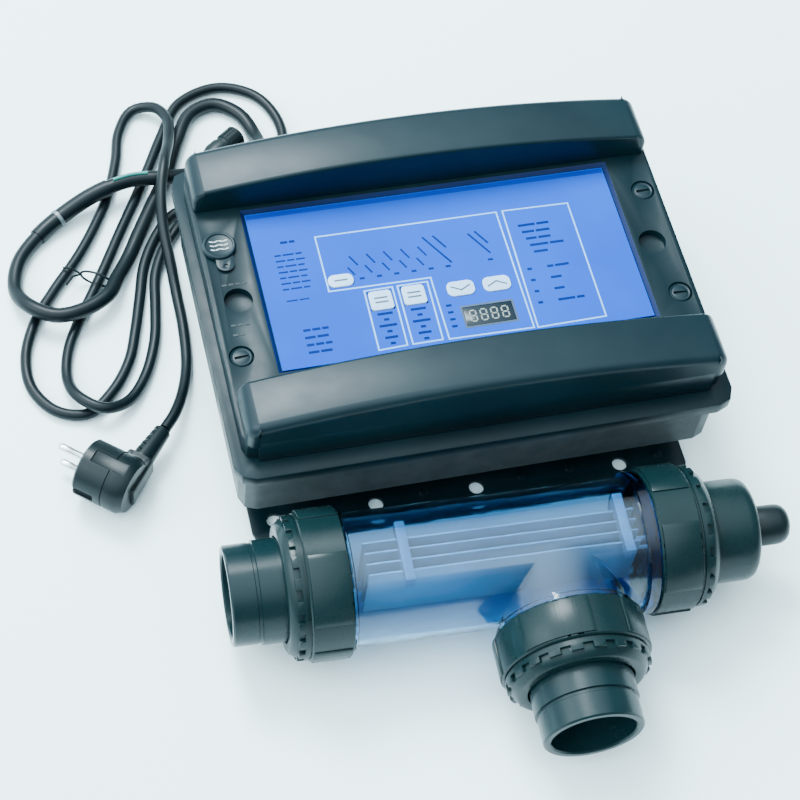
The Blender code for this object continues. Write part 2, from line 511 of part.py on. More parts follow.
def build_electrode():
    """The right-hand head with its plates, combs, posts and rubber boot."""
    start = RIGHT_NUT_X
    head = turned(
        "electrode_head",
        (
            (0.0, 0.0674), (0.0285, 0.0674), (0.0314, 0.0650), (0.0314, 0.0400), (0.0318, 0.0398), (0.0318, 0.0163), (0.0396, 0.0163),
            (0.0396, 0.0124), (0.0350, 0.0124), (0.0350, 0.0040), (0.0, 0.0040),
        ),
        CELL, UNION_BLACK, (start, 0, 0), ALONG_X, steps=48, ring=False,
    )
    join(head, rod("socket_shape", 0.0092, start + 0.060, start + 0.0800, CELL, axis="X", sides=28))
    cut(head, rod("socket_room", 0.0072, start + 0.0700, start + 0.09, CELL, axis="X", sides=28))
    for number, y in enumerate((-0.0030, 0.0030), 1):
        cut(head, rod("post_room", 0.0019, start - 0.01, start + 0.09, CELL, centre=(y, 0), axis="X", sides=14))
        rod(f"terminal_post_{number}", 0.0016, start - 0.0060, start + 0.0780, CELL, TITANIUM, centre=(y, 0), axis="X", sides=14)
    turned(
        "head_boot",
        ((0.0070, 0.0946), (0.0104, 0.0930), (0.0125, 0.0890), (0.0125, 0.0677), (0.0096, 0.0677), (0.0096, 0.0806), (0.0030, 0.0808), (0.0030, 0.0946)),
        CELL, RUBBER, (start, 0, 0), ALONG_X, steps=32,
    )
    low, high = start - 0.172, start - 0.0070
    offsets = (-0.0105, -0.0035, 0.0035, 0.0105)
    for number, y in enumerate(offsets, 1):
        block(f"electrode_plate_{number}", (low, y - 0.0006, -0.0240), (high, y + 0.0006, 0.0240), CELL, TITANIUM)
    for name, x in (("plate_comb_left", low + 0.020), ("plate_comb_right", high - 0.012)):
        comb = block(name, (x, -0.0190, 0.0200), (x + 0.006, 0.0190, 0.0290), CELL, TERMINAL_GREY)
        for y in offsets:
            cut(comb, block("comb_slot", (x - 0.01, y - 0.0009, 0.0), (x + 0.02, y + 0.0009, 0.0243), CELL))


# ---------------------------------------------------------------- leads
def smooth_route(route, spacing):
    """Points at an even spacing on a centripetal Catmull-Rom curve through the route, in metres."""
    stops = [Vector(stop) / 1000 for stop in route]
    stops = [2 * stops[0] - stops[1], *stops, 2 * stops[-1] - stops[-2]]
    fine = []
    for a, b, c, d in zip(stops, stops[1:], stops[2:], stops[3:]):
        t = [0.0]
        for first, second in ((a, b), (b, c), (c, d)):
            t.append(t[-1] + math.sqrt((second - first).length))
        for step in range(16):
            u = t[1] + (t[2] - t[1]) * step / 16
            ab = a.lerp(b, u / t[1])
            bc = b.lerp(c, (u - t[1]) / (t[2] - t[1]))
            cd = c.lerp(d, (u - t[2]) / (t[3] - t[2]))
            fine.append(ab.lerp(bc, u / t[2]).lerp(bc.lerp(cd, (u - t[1]) / (t[3] - t[1])), (u - t[1]) / (t[2] - t[1])))
    fine.append(stops[-2])
    lengths = [0.0]
    for first, second in zip(fine, fine[1:]):
        lengths.append(lengths[-1] + (second - first).length)
    count = round(lengths[-1] / spacing)
    points, at = [], 0
    for step in range(count + 1):
        goal = lengths[-1] * step / count
        while at < len(fine) - 2 and lengths[at + 1] < goal:
            at += 1
        share = (goal - lengths[at]) / max(lengths[at + 1] - lengths[at], 1e-9)
        points.append(fine[at].lerp(fine[at + 1], share))
    return points


def tube(name, route, diameter, spacing, material):
    curve = bpy.data.curves.new(name, "CURVE")
    curve.dimensions = "3D"
    curve.bevel_depth = diameter / 2
    curve.bevel_resolution = 2
    curve.use_fill_caps = True
    curve.materials.append(material)
    points = smooth_route(route, spacing)
    spline = curve.splines.new("POLY")
    spline.points.add(len(points) - 1)
    for target, point in zip(spline.points, points):
        target.co = (*point, 1.0)
    obj = bpy.data.objects.new(name, curve)
    obj.parent = BOX
    PARTS.objects.link(obj)


def build_plug():
    """An angled earthed plug lying on its edge, with two pins and a ribbed relief."""
    turn = rotation_to(PLUG_OUT)
    body = turned(
        "plug_body",
        ((0.0, 0.0), (0.0178, 0.0), (0.0188, -0.0010), (0.0188, -0.0300), (0.0160, -0.0340), (0.0, -0.0340)),
        BOX, BLACK, PLUG_FACE, turn, steps=28, ring=False,
    )
    arm_from = PLUG_FACE - PLUG_OUT * 0.0255
    arm_long = 0.0215
    arm = turned(
        "arm_shape", ((0.0, arm_long), (0.0090, arm_long), (0.0112, 0.0120), (0.0112, 0.0), (0.0, 0.0)),
        BOX, location=arm_from - Vector((0, 0, 0.0033)), rotation=rotation_to(PLUG_ARM), steps=16, ring=False,
    )
    join(body, arm)
    for number, z in enumerate((-0.0095, 0.0095), 1):
        spot = PLUG_FACE + Vector((0, 0, z))
        hole = turned(
            "pin_hole", ((0.0, 0.01), (0.0027, 0.01), (0.0027, -0.0083), (0.0, -0.0083)),
            BOX, location=spot, rotation=turn, steps=16, ring=False,
        )
        cut(body, hole)
        turned(
            f"plug_pin_{number}", ((0.0, 0.0190), (0.0014, 0.0190), (0.0024, 0.0178), (0.0024, -0.0080), (0.0, -0.0080)),
            BOX, NICKEL, spot, turn, steps=16, ring=False,
        )
    relief_from = arm_from + PLUG_ARM * (arm_long + GAP) - Vector((0, 0, 0.0033))
    ribs, pitch = 5, 0.0046
    profile = []
    for rib in range(ribs, -1, -1):
        radius = 0.0074 - rib * 0.0003
        profile += [(radius, rib * pitch + 0.0024), (radius, rib * pitch)]
        if rib:
            profile += [(radius - 0.0014, rib * pitch - 0.0003), (radius - 0.0014, rib * pitch - 0.0019)]
    top = ribs * pitch + 0.0024
    turned(
        "plug_relief", ((0.0, top), *profile, (0.0, 0.0)), BOX, RUBBER, relief_from, rotation_to(PLUG_ARM), steps=20, ring=False,
    )
    return relief_from + PLUG_ARM * (top + GAP)


def build_connector():
    """The cell cable's round connector, and the boot behind it."""
    turned(
        "cell_connector",
        (
            (0.0, 0.0310), (0.0072, 0.0310), (0.0080, 0.0302), (0.0080, 0.0180), (0.0072, 0.0172), (0.0072, 0.0150),
            (0.0080, 0.0142), (0.0080, 0.0060), (0.0062, GAP * 2), (0.0, GAP * 2),
        ),
        BOX, UNION_BLACK, CONNECTOR_PLACE, rotation_to(CONNECTOR_OUT), steps=24, ring=False,
    )


def main():
    build_base()
    build_gasket()
    build_gland("mains", MAINS_GLAND_X, MAINS_D / 2, 0.0100, 0.0082)
    build_gland("cell", CELL_GLAND_X, CELL_CABLE_D / 2, 0.0120, 0.0102)
    build_power_side()
    build_lid()
    build_label()
    build_lid_screws()
    build_cap()
    build_bar("near_bar", -1)
    build_bar("far_bar", 1)
    build_cell_body()
    build_union("left", (LEFT_NUT_X, 0, 0), ALONG_MINUS_X)
    build_union("right", (RIGHT_NUT_X, 0, 0), ALONG_X)
    build_union("branch", (TEE_X, -BRANCH_NUT_OUT, 0), ALONG_MINUS_Y)
    build_electrode()
    tube("mains_cord", MAINS_ROUTE, MAINS_D, 0.021, RUBBER)
    tube("cell_cable", CELL_ROUTE, CELL_CABLE_D, 0.024, RUBBER)
    build_plug()
    build_connector()


main()
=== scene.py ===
"""Salt chlorine generator: the looks of its control box, its clear tee-shaped cell and their leads.

Each sub-assembly is a class. Sizes are in metres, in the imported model's own frame.
"""

from __future__ import annotations

import json
import logging
import math
from collections.abc import Callable, Iterable, Sequence
from dataclasses import dataclass, field
from enum import Enum

import bmesh
import bpy
from mathutils import Euler, Matrix, Vector
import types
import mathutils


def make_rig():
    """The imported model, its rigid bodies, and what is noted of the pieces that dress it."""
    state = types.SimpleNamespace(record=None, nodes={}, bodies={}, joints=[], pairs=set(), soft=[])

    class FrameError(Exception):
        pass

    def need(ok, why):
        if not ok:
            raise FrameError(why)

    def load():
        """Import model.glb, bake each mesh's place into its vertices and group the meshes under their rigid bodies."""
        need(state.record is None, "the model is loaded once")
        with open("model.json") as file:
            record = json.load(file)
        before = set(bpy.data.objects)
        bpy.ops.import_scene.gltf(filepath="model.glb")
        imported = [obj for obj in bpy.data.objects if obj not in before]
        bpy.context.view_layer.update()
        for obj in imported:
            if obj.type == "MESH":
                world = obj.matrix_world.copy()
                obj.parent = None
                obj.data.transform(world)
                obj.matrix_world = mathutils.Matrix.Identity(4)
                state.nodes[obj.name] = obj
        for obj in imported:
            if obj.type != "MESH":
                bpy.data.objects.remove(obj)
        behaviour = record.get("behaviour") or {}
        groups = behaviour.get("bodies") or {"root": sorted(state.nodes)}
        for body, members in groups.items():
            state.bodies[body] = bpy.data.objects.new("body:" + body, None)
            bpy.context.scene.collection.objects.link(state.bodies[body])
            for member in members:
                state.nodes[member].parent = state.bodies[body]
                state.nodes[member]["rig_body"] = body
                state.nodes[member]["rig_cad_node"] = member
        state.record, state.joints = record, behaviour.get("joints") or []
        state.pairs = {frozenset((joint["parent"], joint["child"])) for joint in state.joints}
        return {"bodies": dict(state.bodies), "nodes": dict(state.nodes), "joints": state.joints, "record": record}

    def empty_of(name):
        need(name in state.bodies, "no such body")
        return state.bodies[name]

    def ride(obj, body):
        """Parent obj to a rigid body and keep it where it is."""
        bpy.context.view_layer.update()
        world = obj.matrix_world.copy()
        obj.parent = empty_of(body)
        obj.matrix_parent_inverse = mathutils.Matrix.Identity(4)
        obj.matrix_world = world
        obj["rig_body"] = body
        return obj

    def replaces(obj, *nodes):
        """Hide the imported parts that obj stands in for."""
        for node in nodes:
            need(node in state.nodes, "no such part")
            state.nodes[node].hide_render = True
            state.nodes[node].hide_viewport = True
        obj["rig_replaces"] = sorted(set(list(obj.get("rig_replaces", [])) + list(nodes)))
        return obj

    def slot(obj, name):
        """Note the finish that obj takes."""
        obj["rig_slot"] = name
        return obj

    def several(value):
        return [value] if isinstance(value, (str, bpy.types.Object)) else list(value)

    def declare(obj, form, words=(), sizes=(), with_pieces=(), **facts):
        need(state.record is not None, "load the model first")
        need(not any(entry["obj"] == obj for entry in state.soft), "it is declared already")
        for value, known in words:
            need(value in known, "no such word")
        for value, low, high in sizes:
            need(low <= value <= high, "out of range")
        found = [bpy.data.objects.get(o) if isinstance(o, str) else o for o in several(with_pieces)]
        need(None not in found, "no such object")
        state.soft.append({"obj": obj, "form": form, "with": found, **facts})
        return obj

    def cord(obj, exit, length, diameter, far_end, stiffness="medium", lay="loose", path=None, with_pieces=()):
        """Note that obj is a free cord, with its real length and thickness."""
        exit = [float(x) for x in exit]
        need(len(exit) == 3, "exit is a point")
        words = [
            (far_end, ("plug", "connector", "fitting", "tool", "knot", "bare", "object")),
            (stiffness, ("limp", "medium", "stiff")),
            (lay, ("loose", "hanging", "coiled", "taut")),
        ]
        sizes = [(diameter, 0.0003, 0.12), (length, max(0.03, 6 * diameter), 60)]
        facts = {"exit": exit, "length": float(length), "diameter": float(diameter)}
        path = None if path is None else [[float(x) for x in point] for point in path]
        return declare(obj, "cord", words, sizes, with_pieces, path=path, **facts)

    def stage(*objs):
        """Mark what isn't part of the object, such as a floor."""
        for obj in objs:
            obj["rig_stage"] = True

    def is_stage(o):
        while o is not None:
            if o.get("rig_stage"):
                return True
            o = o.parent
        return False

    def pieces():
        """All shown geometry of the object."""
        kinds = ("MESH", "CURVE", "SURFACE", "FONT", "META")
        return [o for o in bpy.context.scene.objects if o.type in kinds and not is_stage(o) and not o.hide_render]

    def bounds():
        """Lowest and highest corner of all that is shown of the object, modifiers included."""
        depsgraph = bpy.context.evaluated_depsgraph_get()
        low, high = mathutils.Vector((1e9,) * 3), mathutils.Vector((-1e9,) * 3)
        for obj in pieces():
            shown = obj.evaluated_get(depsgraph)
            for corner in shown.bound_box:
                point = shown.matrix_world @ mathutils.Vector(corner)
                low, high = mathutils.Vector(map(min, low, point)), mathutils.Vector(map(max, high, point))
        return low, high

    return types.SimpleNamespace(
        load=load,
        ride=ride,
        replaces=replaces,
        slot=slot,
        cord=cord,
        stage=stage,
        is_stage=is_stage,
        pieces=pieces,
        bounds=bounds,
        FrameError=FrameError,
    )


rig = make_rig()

LOG = logging.getLogger("salt_chlorine_generator")

Point = tuple[float, float, float]
Colour = tuple[float, float, float]
Profile = Sequence[tuple[float, float]]

BOX_PLACE = Vector((-0.0012, 0.0838, 0.0))
CELL_PLACE = Vector((-0.0012, -0.0924, 0.0463))
CELL_YAW = math.radians(-2.4)


class Home(Enum):
    """The frames that pieces are drawn in before they are set down."""

    BOX = "middle of the control box, on the floor"
    CELL = "middle of the cell's tube"
    WORLD = "the packed model's own frame"

    def matrix(self) -> Matrix:
        """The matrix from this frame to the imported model's."""
        if self is Home.BOX:
            return Matrix.Translation(BOX_PLACE)
        if self is Home.CELL:
            return Matrix.Translation(CELL_PLACE) @ Matrix.Rotation(CELL_YAW, 4, "Z")
        return Matrix.Identity(4)


class Facing(Enum):
    """Which way a turned piece's own +Z points in its home frame."""

    RIGHT = Matrix.Rotation(math.pi / 2, 4, "Y")
    LEFT = Matrix.Rotation(-math.pi / 2, 4, "Y")
    NEAR = Matrix.Rotation(math.pi / 2, 4, "X")


# ---------------------------------------------------------------- finishes
class Nodes:
    """Builds one material's node tree, a step at a time."""

    def __init__(self, name: str) -> None:
        """Starts a material that holds a Principled shader.

        Args:
            name: the material's name.
        """
        self.material = bpy.data.materials.new(name)
        self.material.use_nodes = True
        self.tree = self.material.node_tree
        self.shader = self.tree.nodes["Principled BSDF"]
        self._where = self.tree.nodes.new("ShaderNodeTexCoord")

    def set(self, **values: object) -> None:
        """Sets the shader's own sockets, with each name's spaces written as underscores."""
        for name, value in values.items():
            self.shader.inputs[name.replace("_", " ")].default_value = value

    def mapped(self, scale: Point = (1, 1, 1)) -> object:
        """The object's own coordinates times a factor for each axis, as a socket."""
        mapping = self.tree.nodes.new("ShaderNodeMapping")
        mapping.inputs["Scale"].default_value = scale
        self.tree.links.new(self._where.outputs["Object"], mapping.inputs["Vector"])
        return mapping.outputs["Vector"]

    def noise(
        self, scale: float, detail: float = 3.0, roughness: float = 0.55, vector: object = None
    ) -> object:
        """A noise pattern's factor.

        Args:
            scale: cycles for each metre.
            detail: the number of octaves.
            roughness: how strong the finer octaves are.
            vector: the coordinates it is read at.

        Returns:
            The factor socket.
        """
        texture = self.tree.nodes.new("ShaderNodeTexNoise")
        texture.inputs["Scale"].default_value = scale
        texture.inputs["Detail"].default_value = detail
        texture.inputs["Roughness"].default_value = roughness
        self.tree.links.new(vector or self.mapped(), texture.inputs["Vector"])
        return texture.outputs["Fac"]

    def wave(self, scale: float, distortion: float) -> object:
        """The factor of slanting bands that noise bends, as a socket."""
        texture = self.tree.nodes.new("ShaderNodeTexWave")
        texture.bands_direction = "DIAGONAL"
        texture.inputs["Scale"].default_value = scale
        texture.inputs["Distortion"].default_value = distortion
        self.tree.links.new(self.mapped(), texture.inputs["Vector"])
        return texture.outputs["Fac"]

    def ramp(self, factor: object, low: tuple[float, Colour], high: tuple[float, Colour]) -> object:
        """A colour ramp of two stops on a factor, as its colour socket."""
        node = self.tree.nodes.new("ShaderNodeValToRGB")
        for stop, (position, colour) in zip(node.color_ramp.elements, (low, high)):
            stop.position = position
            stop.color = (*colour, 1.0)
        self.tree.links.new(factor, node.inputs["Fac"])
        return node.outputs["Color"]

    def spread(self, factor: object, low: float, high: float) -> object:
        """A factor of 0.3 to 0.7 stretched to run from low to high, as a socket."""
        node = self.tree.nodes.new("ShaderNodeMapRange")
        node.inputs["From Min"].default_value = 0.3
        node.inputs["From Max"].default_value = 0.7
        node.inputs["To Min"].default_value = low
        node.inputs["To Max"].default_value = high
        self.tree.links.new(factor, node.inputs["Value"])
        return node.outputs["Result"]

    def bump(self, height: object, distance: float, strength: float = 1.0) -> None:
        """Adds a bump, on top of those already there.

        Args:
            height: the height socket.
            distance: its depth in metres.
            strength: the share of it that is used.
        """
        node = self.tree.nodes.new("ShaderNodeBump")
        node.inputs["Distance"].default_value = distance
        node.inputs["Strength"].default_value = strength
        self.tree.links.new(height, node.inputs["Height"])
        normal = self.shader.inputs["Normal"]
        if normal.is_linked:
            self.tree.links.new(normal.links[0].from_socket, node.inputs["Normal"])
        self.tree.links.new(node.outputs["Normal"], normal)

    def feed(self, name: str, socket: object) -> None:
        """Links a socket to the shader's input of that name."""
        self.tree.links.new(socket, self.shader.inputs[name])


@dataclass(frozen=True)
class Finish:
    """A surface whose colour and gloss vary a little, over a fine grain.

    Args:
        name: the material's name.
        dark: the base colour's darker end.
        light: its lighter end.
        rough: the lowest and highest roughness.
        grain: the grain's cycles for each metre.
        depth: the grain's depth in metres.
        metallic: 0 for plastic and 1 for metal.
        coat: the clear coat's weight.
        specular: the specular level.
        patches: the cycles for each metre of the slow change of colour.
    """

    name: str
    dark: Colour
    light: Colour
    rough: tuple[float, float]
    grain: float = 2600.0
    depth: float = 0.00002
    metallic: float = 0.0
    coat: float = 0.0
    specular: float = 0.5
    patches: float = 14.0

    def material(self) -> bpy.types.Material:
        """The finish's material, made once."""
        return bpy.data.materials.get(self.name) or self.build().material

    def build(self) -> Nodes:
        """Builds the node tree.

        Returns:
            The tree, so that a richer finish can add to it.
        """
        nodes = Nodes(self.name)
        nodes.set(Metallic=self.metallic, Coat_Weight=self.coat, Coat_Roughness=0.12)
        nodes.set(Specular_IOR_Level=self.specular)
        cloud = nodes.noise(self.patches, 4.0)
        nodes.feed("Base Color", nodes.ramp(cloud, (0.35, self.dark), (0.65, self.light)))
        smear = nodes.noise(self.patches * 4.3, 3.0)
        nodes.feed("Roughness", nodes.spread(smear, *self.rough))
        if self.depth:
            nodes.bump(nodes.noise(self.grain, 2.0), self.depth)
        return nodes


@dataclass(frozen=True)
class BrushedFinish(Finish):
    """Metal with fine lines along one axis."""

    along: Point = (1.0, 40.0, 40.0)

    def build(self) -> Nodes:
        """Adds the lines to the plain finish."""
        nodes = super().build()
        nodes.bump(nodes.noise(120.0, 3.0, 0.6, nodes.mapped(self.along)), 0.00003)
        return nodes


@dataclass(frozen=True)
class WoundFinish(Finish):
    """Varnished wire wound round a core."""

    turns: float = 210.0

    def build(self) -> Nodes:
        """Adds the turns of wire, which fan out from the core's middle."""
        nodes = super().build()
        nodes.bump(nodes.wave(self.turns, 1.5), 0.0004)
        return nodes


@dataclass(frozen=True)
class BoardFinish(Finish):
    """A circuit board: solder resist with paler tracks under it."""

    def build(self) -> Nodes:
        """Adds the tracks to the plain finish."""
        nodes = super().build()
        texture = nodes.tree.nodes.new("ShaderNodeTexBrick")
        texture.inputs["Scale"].default_value = 55.0
        texture.inputs["Mortar Size"].default_value = 0.06
        texture.inputs["Color1"].default_value = (*self.dark, 1.0)
        texture.inputs["Color2"].default_value = (*self.light, 1.0)
        texture.inputs["Mortar"].default_value = (0.10, 0.42, 0.16, 1.0)
        nodes.tree.links.new(nodes.mapped(), texture.inputs["Vector"])
        nodes.feed("Base Color", texture.outputs["Color"])
        return nodes


@dataclass(frozen=True)
class ClearFinish(Finish):
    """Clear moulded plastic with a tint and slow ripples from the mould."""

    tint: Colour = (0.62, 0.80, 0.98)

    def build(self) -> Nodes:
        """Makes the plain finish clear."""
        nodes = Nodes(self.name)
        nodes.set(Transmission_Weight=1.0, IOR=1.30, Coat_Weight=self.coat, Coat_Roughness=0.03)
        nodes.set(Specular_IOR_Level=self.specular)
        cloud = nodes.noise(self.patches, 3.0)
        nodes.feed("Base Color", nodes.ramp(cloud, (0.30, self.dark), (0.70, self.light)))
        nodes.feed("Roughness", nodes.spread(nodes.noise(46.0, 2.0), *self.rough))
        nodes.bump(nodes.noise(38.0, 2.0), 0.0004)
        nodes.bump(nodes.noise(self.grain, 2.0), self.depth)
        return nodes


BOX_BLACK = Finish(
    "box_black", (0.0016, 0.0075, 0.0105), (0.0026, 0.0110, 0.0145), (0.30, 0.42), 3200, 0.000012,
    specular=0.12,
)
BAR_BLACK = Finish(
    "bar_black", (0.0018, 0.0085, 0.0125), (0.0028, 0.0120, 0.0160), (0.28, 0.36), 3000, 0.000014,
    specular=0.16,
)
RECESS_NAVY = Finish(
    "recess_navy", (0.001, 0.007, 0.040), (0.002, 0.011, 0.058), (0.28, 0.40), 2400, 0.000012, specular=0.2
)
UNION_BLACK = Finish(
    "union_moulding", (0.0016, 0.0085, 0.0100), (0.0030, 0.0125, 0.0140), (0.22, 0.32), 2200, 0.00002,
    specular=0.16,
)
TAIL_BLACK = Finish(
    "tail_moulding", (0.0018, 0.0095, 0.0120), (0.0032, 0.0135, 0.0160), (0.20, 0.30), 2200, 0.00002,
    specular=0.18,
)
PANEL_BLUE = Finish(
    "panel_film_blue", (0.0002, 0.046, 0.330), (0.0006, 0.056, 0.380), (0.50, 0.60), 4200, 0.000006,
    specular=0.02, patches=9,
)
# Painted shade: a darker copy of the panel blue, laid along the panel's far edge.
PANEL_PAINTED_SHADE = Finish(
    "panel_painted_shade", (0.0002, 0.022, 0.220), (0.0004, 0.028, 0.250), (0.50, 0.60), 4200, 0.000006,
    specular=0.02,
)
PRINT_NAVY = Finish(
    "print_navy", (0.0008, 0.009, 0.080), (0.0012, 0.013, 0.105), (0.50, 0.60), 4200, 0.000004,
    specular=0.03,
)
PRINT_PALE = Finish(
    "print_pale", (0.140, 0.330, 0.600), (0.170, 0.370, 0.650), (0.50, 0.60), 4200, 0.000004, specular=0.05
)
KEY_WHITE = Finish(
    "key_white", (0.260, 0.420, 0.590), (0.300, 0.460, 0.640), (0.40, 0.50), 3600, 0.000008, specular=0.2
)
KEY_GREY = Finish(
    "key_grey", (0.030, 0.050, 0.080), (0.050, 0.075, 0.110), (0.40, 0.50), 3600, 0.000004, specular=0.2
)
WINDOW_DARK = Finish(
    "window_dark", (0.006, 0.012, 0.018), (0.010, 0.018, 0.024), (0.14, 0.20), 2000, 0.000003, specular=0.2
)
DIGIT_PALE = Finish(
    "digit_pale", (0.170, 0.190, 0.180), (0.220, 0.240, 0.230), (0.35, 0.45), 3000, 0.000003, specular=0.2
)
MARK_SILVER = Finish(
    "mark_silver", (0.160, 0.200, 0.210), (0.220, 0.260, 0.270), (0.28, 0.36), 3000, 0.000006, metallic=0.3
)
LEAD_BLACK = Finish(
    "lead_black", (0.0012, 0.0040, 0.0055), (0.0026, 0.0065, 0.0085), (0.32, 0.44), 1500, 0.00003,
    specular=0.15,
)
PLUG_BLACK = Finish(
    "plug_black", (0.0016, 0.0055, 0.0070), (0.0034, 0.0085, 0.0100), (0.30, 0.40), 2600, 0.00002,
    specular=0.17,
)
RUBBER = Finish("seal_rubber", (0.004, 0.007, 0.008), (0.008, 0.012, 0.013), (0.60, 0.75), 1800, 0.00004)
TIE_TEAL = Finish("tie_teal", (0.003, 0.110, 0.100), (0.006, 0.170, 0.150), (0.35, 0.48), 2000, 0.00002)
SLEEVE_GREY = Finish(
    "sleeve_grey", (0.060, 0.085, 0.095), (0.110, 0.140, 0.150), (0.30, 0.42), 2000, 0.00002
)
NICKEL = Finish(
    "pin_nickel", (0.640, 0.660, 0.660), (0.760, 0.780, 0.780), (0.14, 0.26), 900, 0.00001, metallic=1.0
)
STEEL = BrushedFinish(
    "zinc_steel", (0.470, 0.480, 0.490), (0.600, 0.610, 0.620), (0.26, 0.38), 1500, 0.00001, metallic=1.0
)
TITANIUM = BrushedFinish(
    "plate_titanium", (0.220, 0.360, 0.440), (0.280, 0.420, 0.500), (0.40, 0.52), 1500, 0.00002,
    metallic=0.2,
)
ALUMINIUM = BrushedFinish(
    "sink_aluminium", (0.560, 0.570, 0.580), (0.680, 0.690, 0.700), (0.30, 0.42), 1500, 0.00001,
    metallic=0.9,
)
COPPER = WoundFinish(
    "copper_winding", (0.480, 0.190, 0.080), (0.660, 0.300, 0.140), (0.26, 0.38), 1500, 0.00001,
    metallic=0.85,
)
BOARD = BoardFinish(
    "board_resist", (0.012, 0.120, 0.045), (0.020, 0.160, 0.060), (0.32, 0.42), 2000, 0.00001
)
COMB_CLEAR = Finish("comb_grey", (0.120, 0.230, 0.320), (0.160, 0.270, 0.360), (0.30, 0.42), 1500, 0.00002)
PART_GREY = Finish(
    "component_grey", (0.110, 0.115, 0.120), (0.170, 0.175, 0.180), (0.42, 0.55), 2000, 0.00002
)
PART_DARK = Finish(
    "component_dark", (0.016, 0.018, 0.022), (0.028, 0.030, 0.036), (0.34, 0.46), 2000, 0.00002
)
CELL_CLEAR = ClearFinish(
    "cell_clear_blue", (0.28, 0.560, 0.820), (0.34, 0.620, 0.860), (0.02, 0.06), 900, 0.000010, coat=0.35
)
COLLAR_CLEAR = ClearFinish(
    "collar_clear_blue", (0.02, 0.100, 0.360), (0.03, 0.130, 0.420), (0.04, 0.10), 900, 0.000010, coat=0.3
)
FLOOR_PALE = Finish(
    "floor_pale", (0.760, 0.905, 0.935), (0.780, 0.920, 0.950), (0.70, 0.80), 300, 0.00001, patches=1.3
)


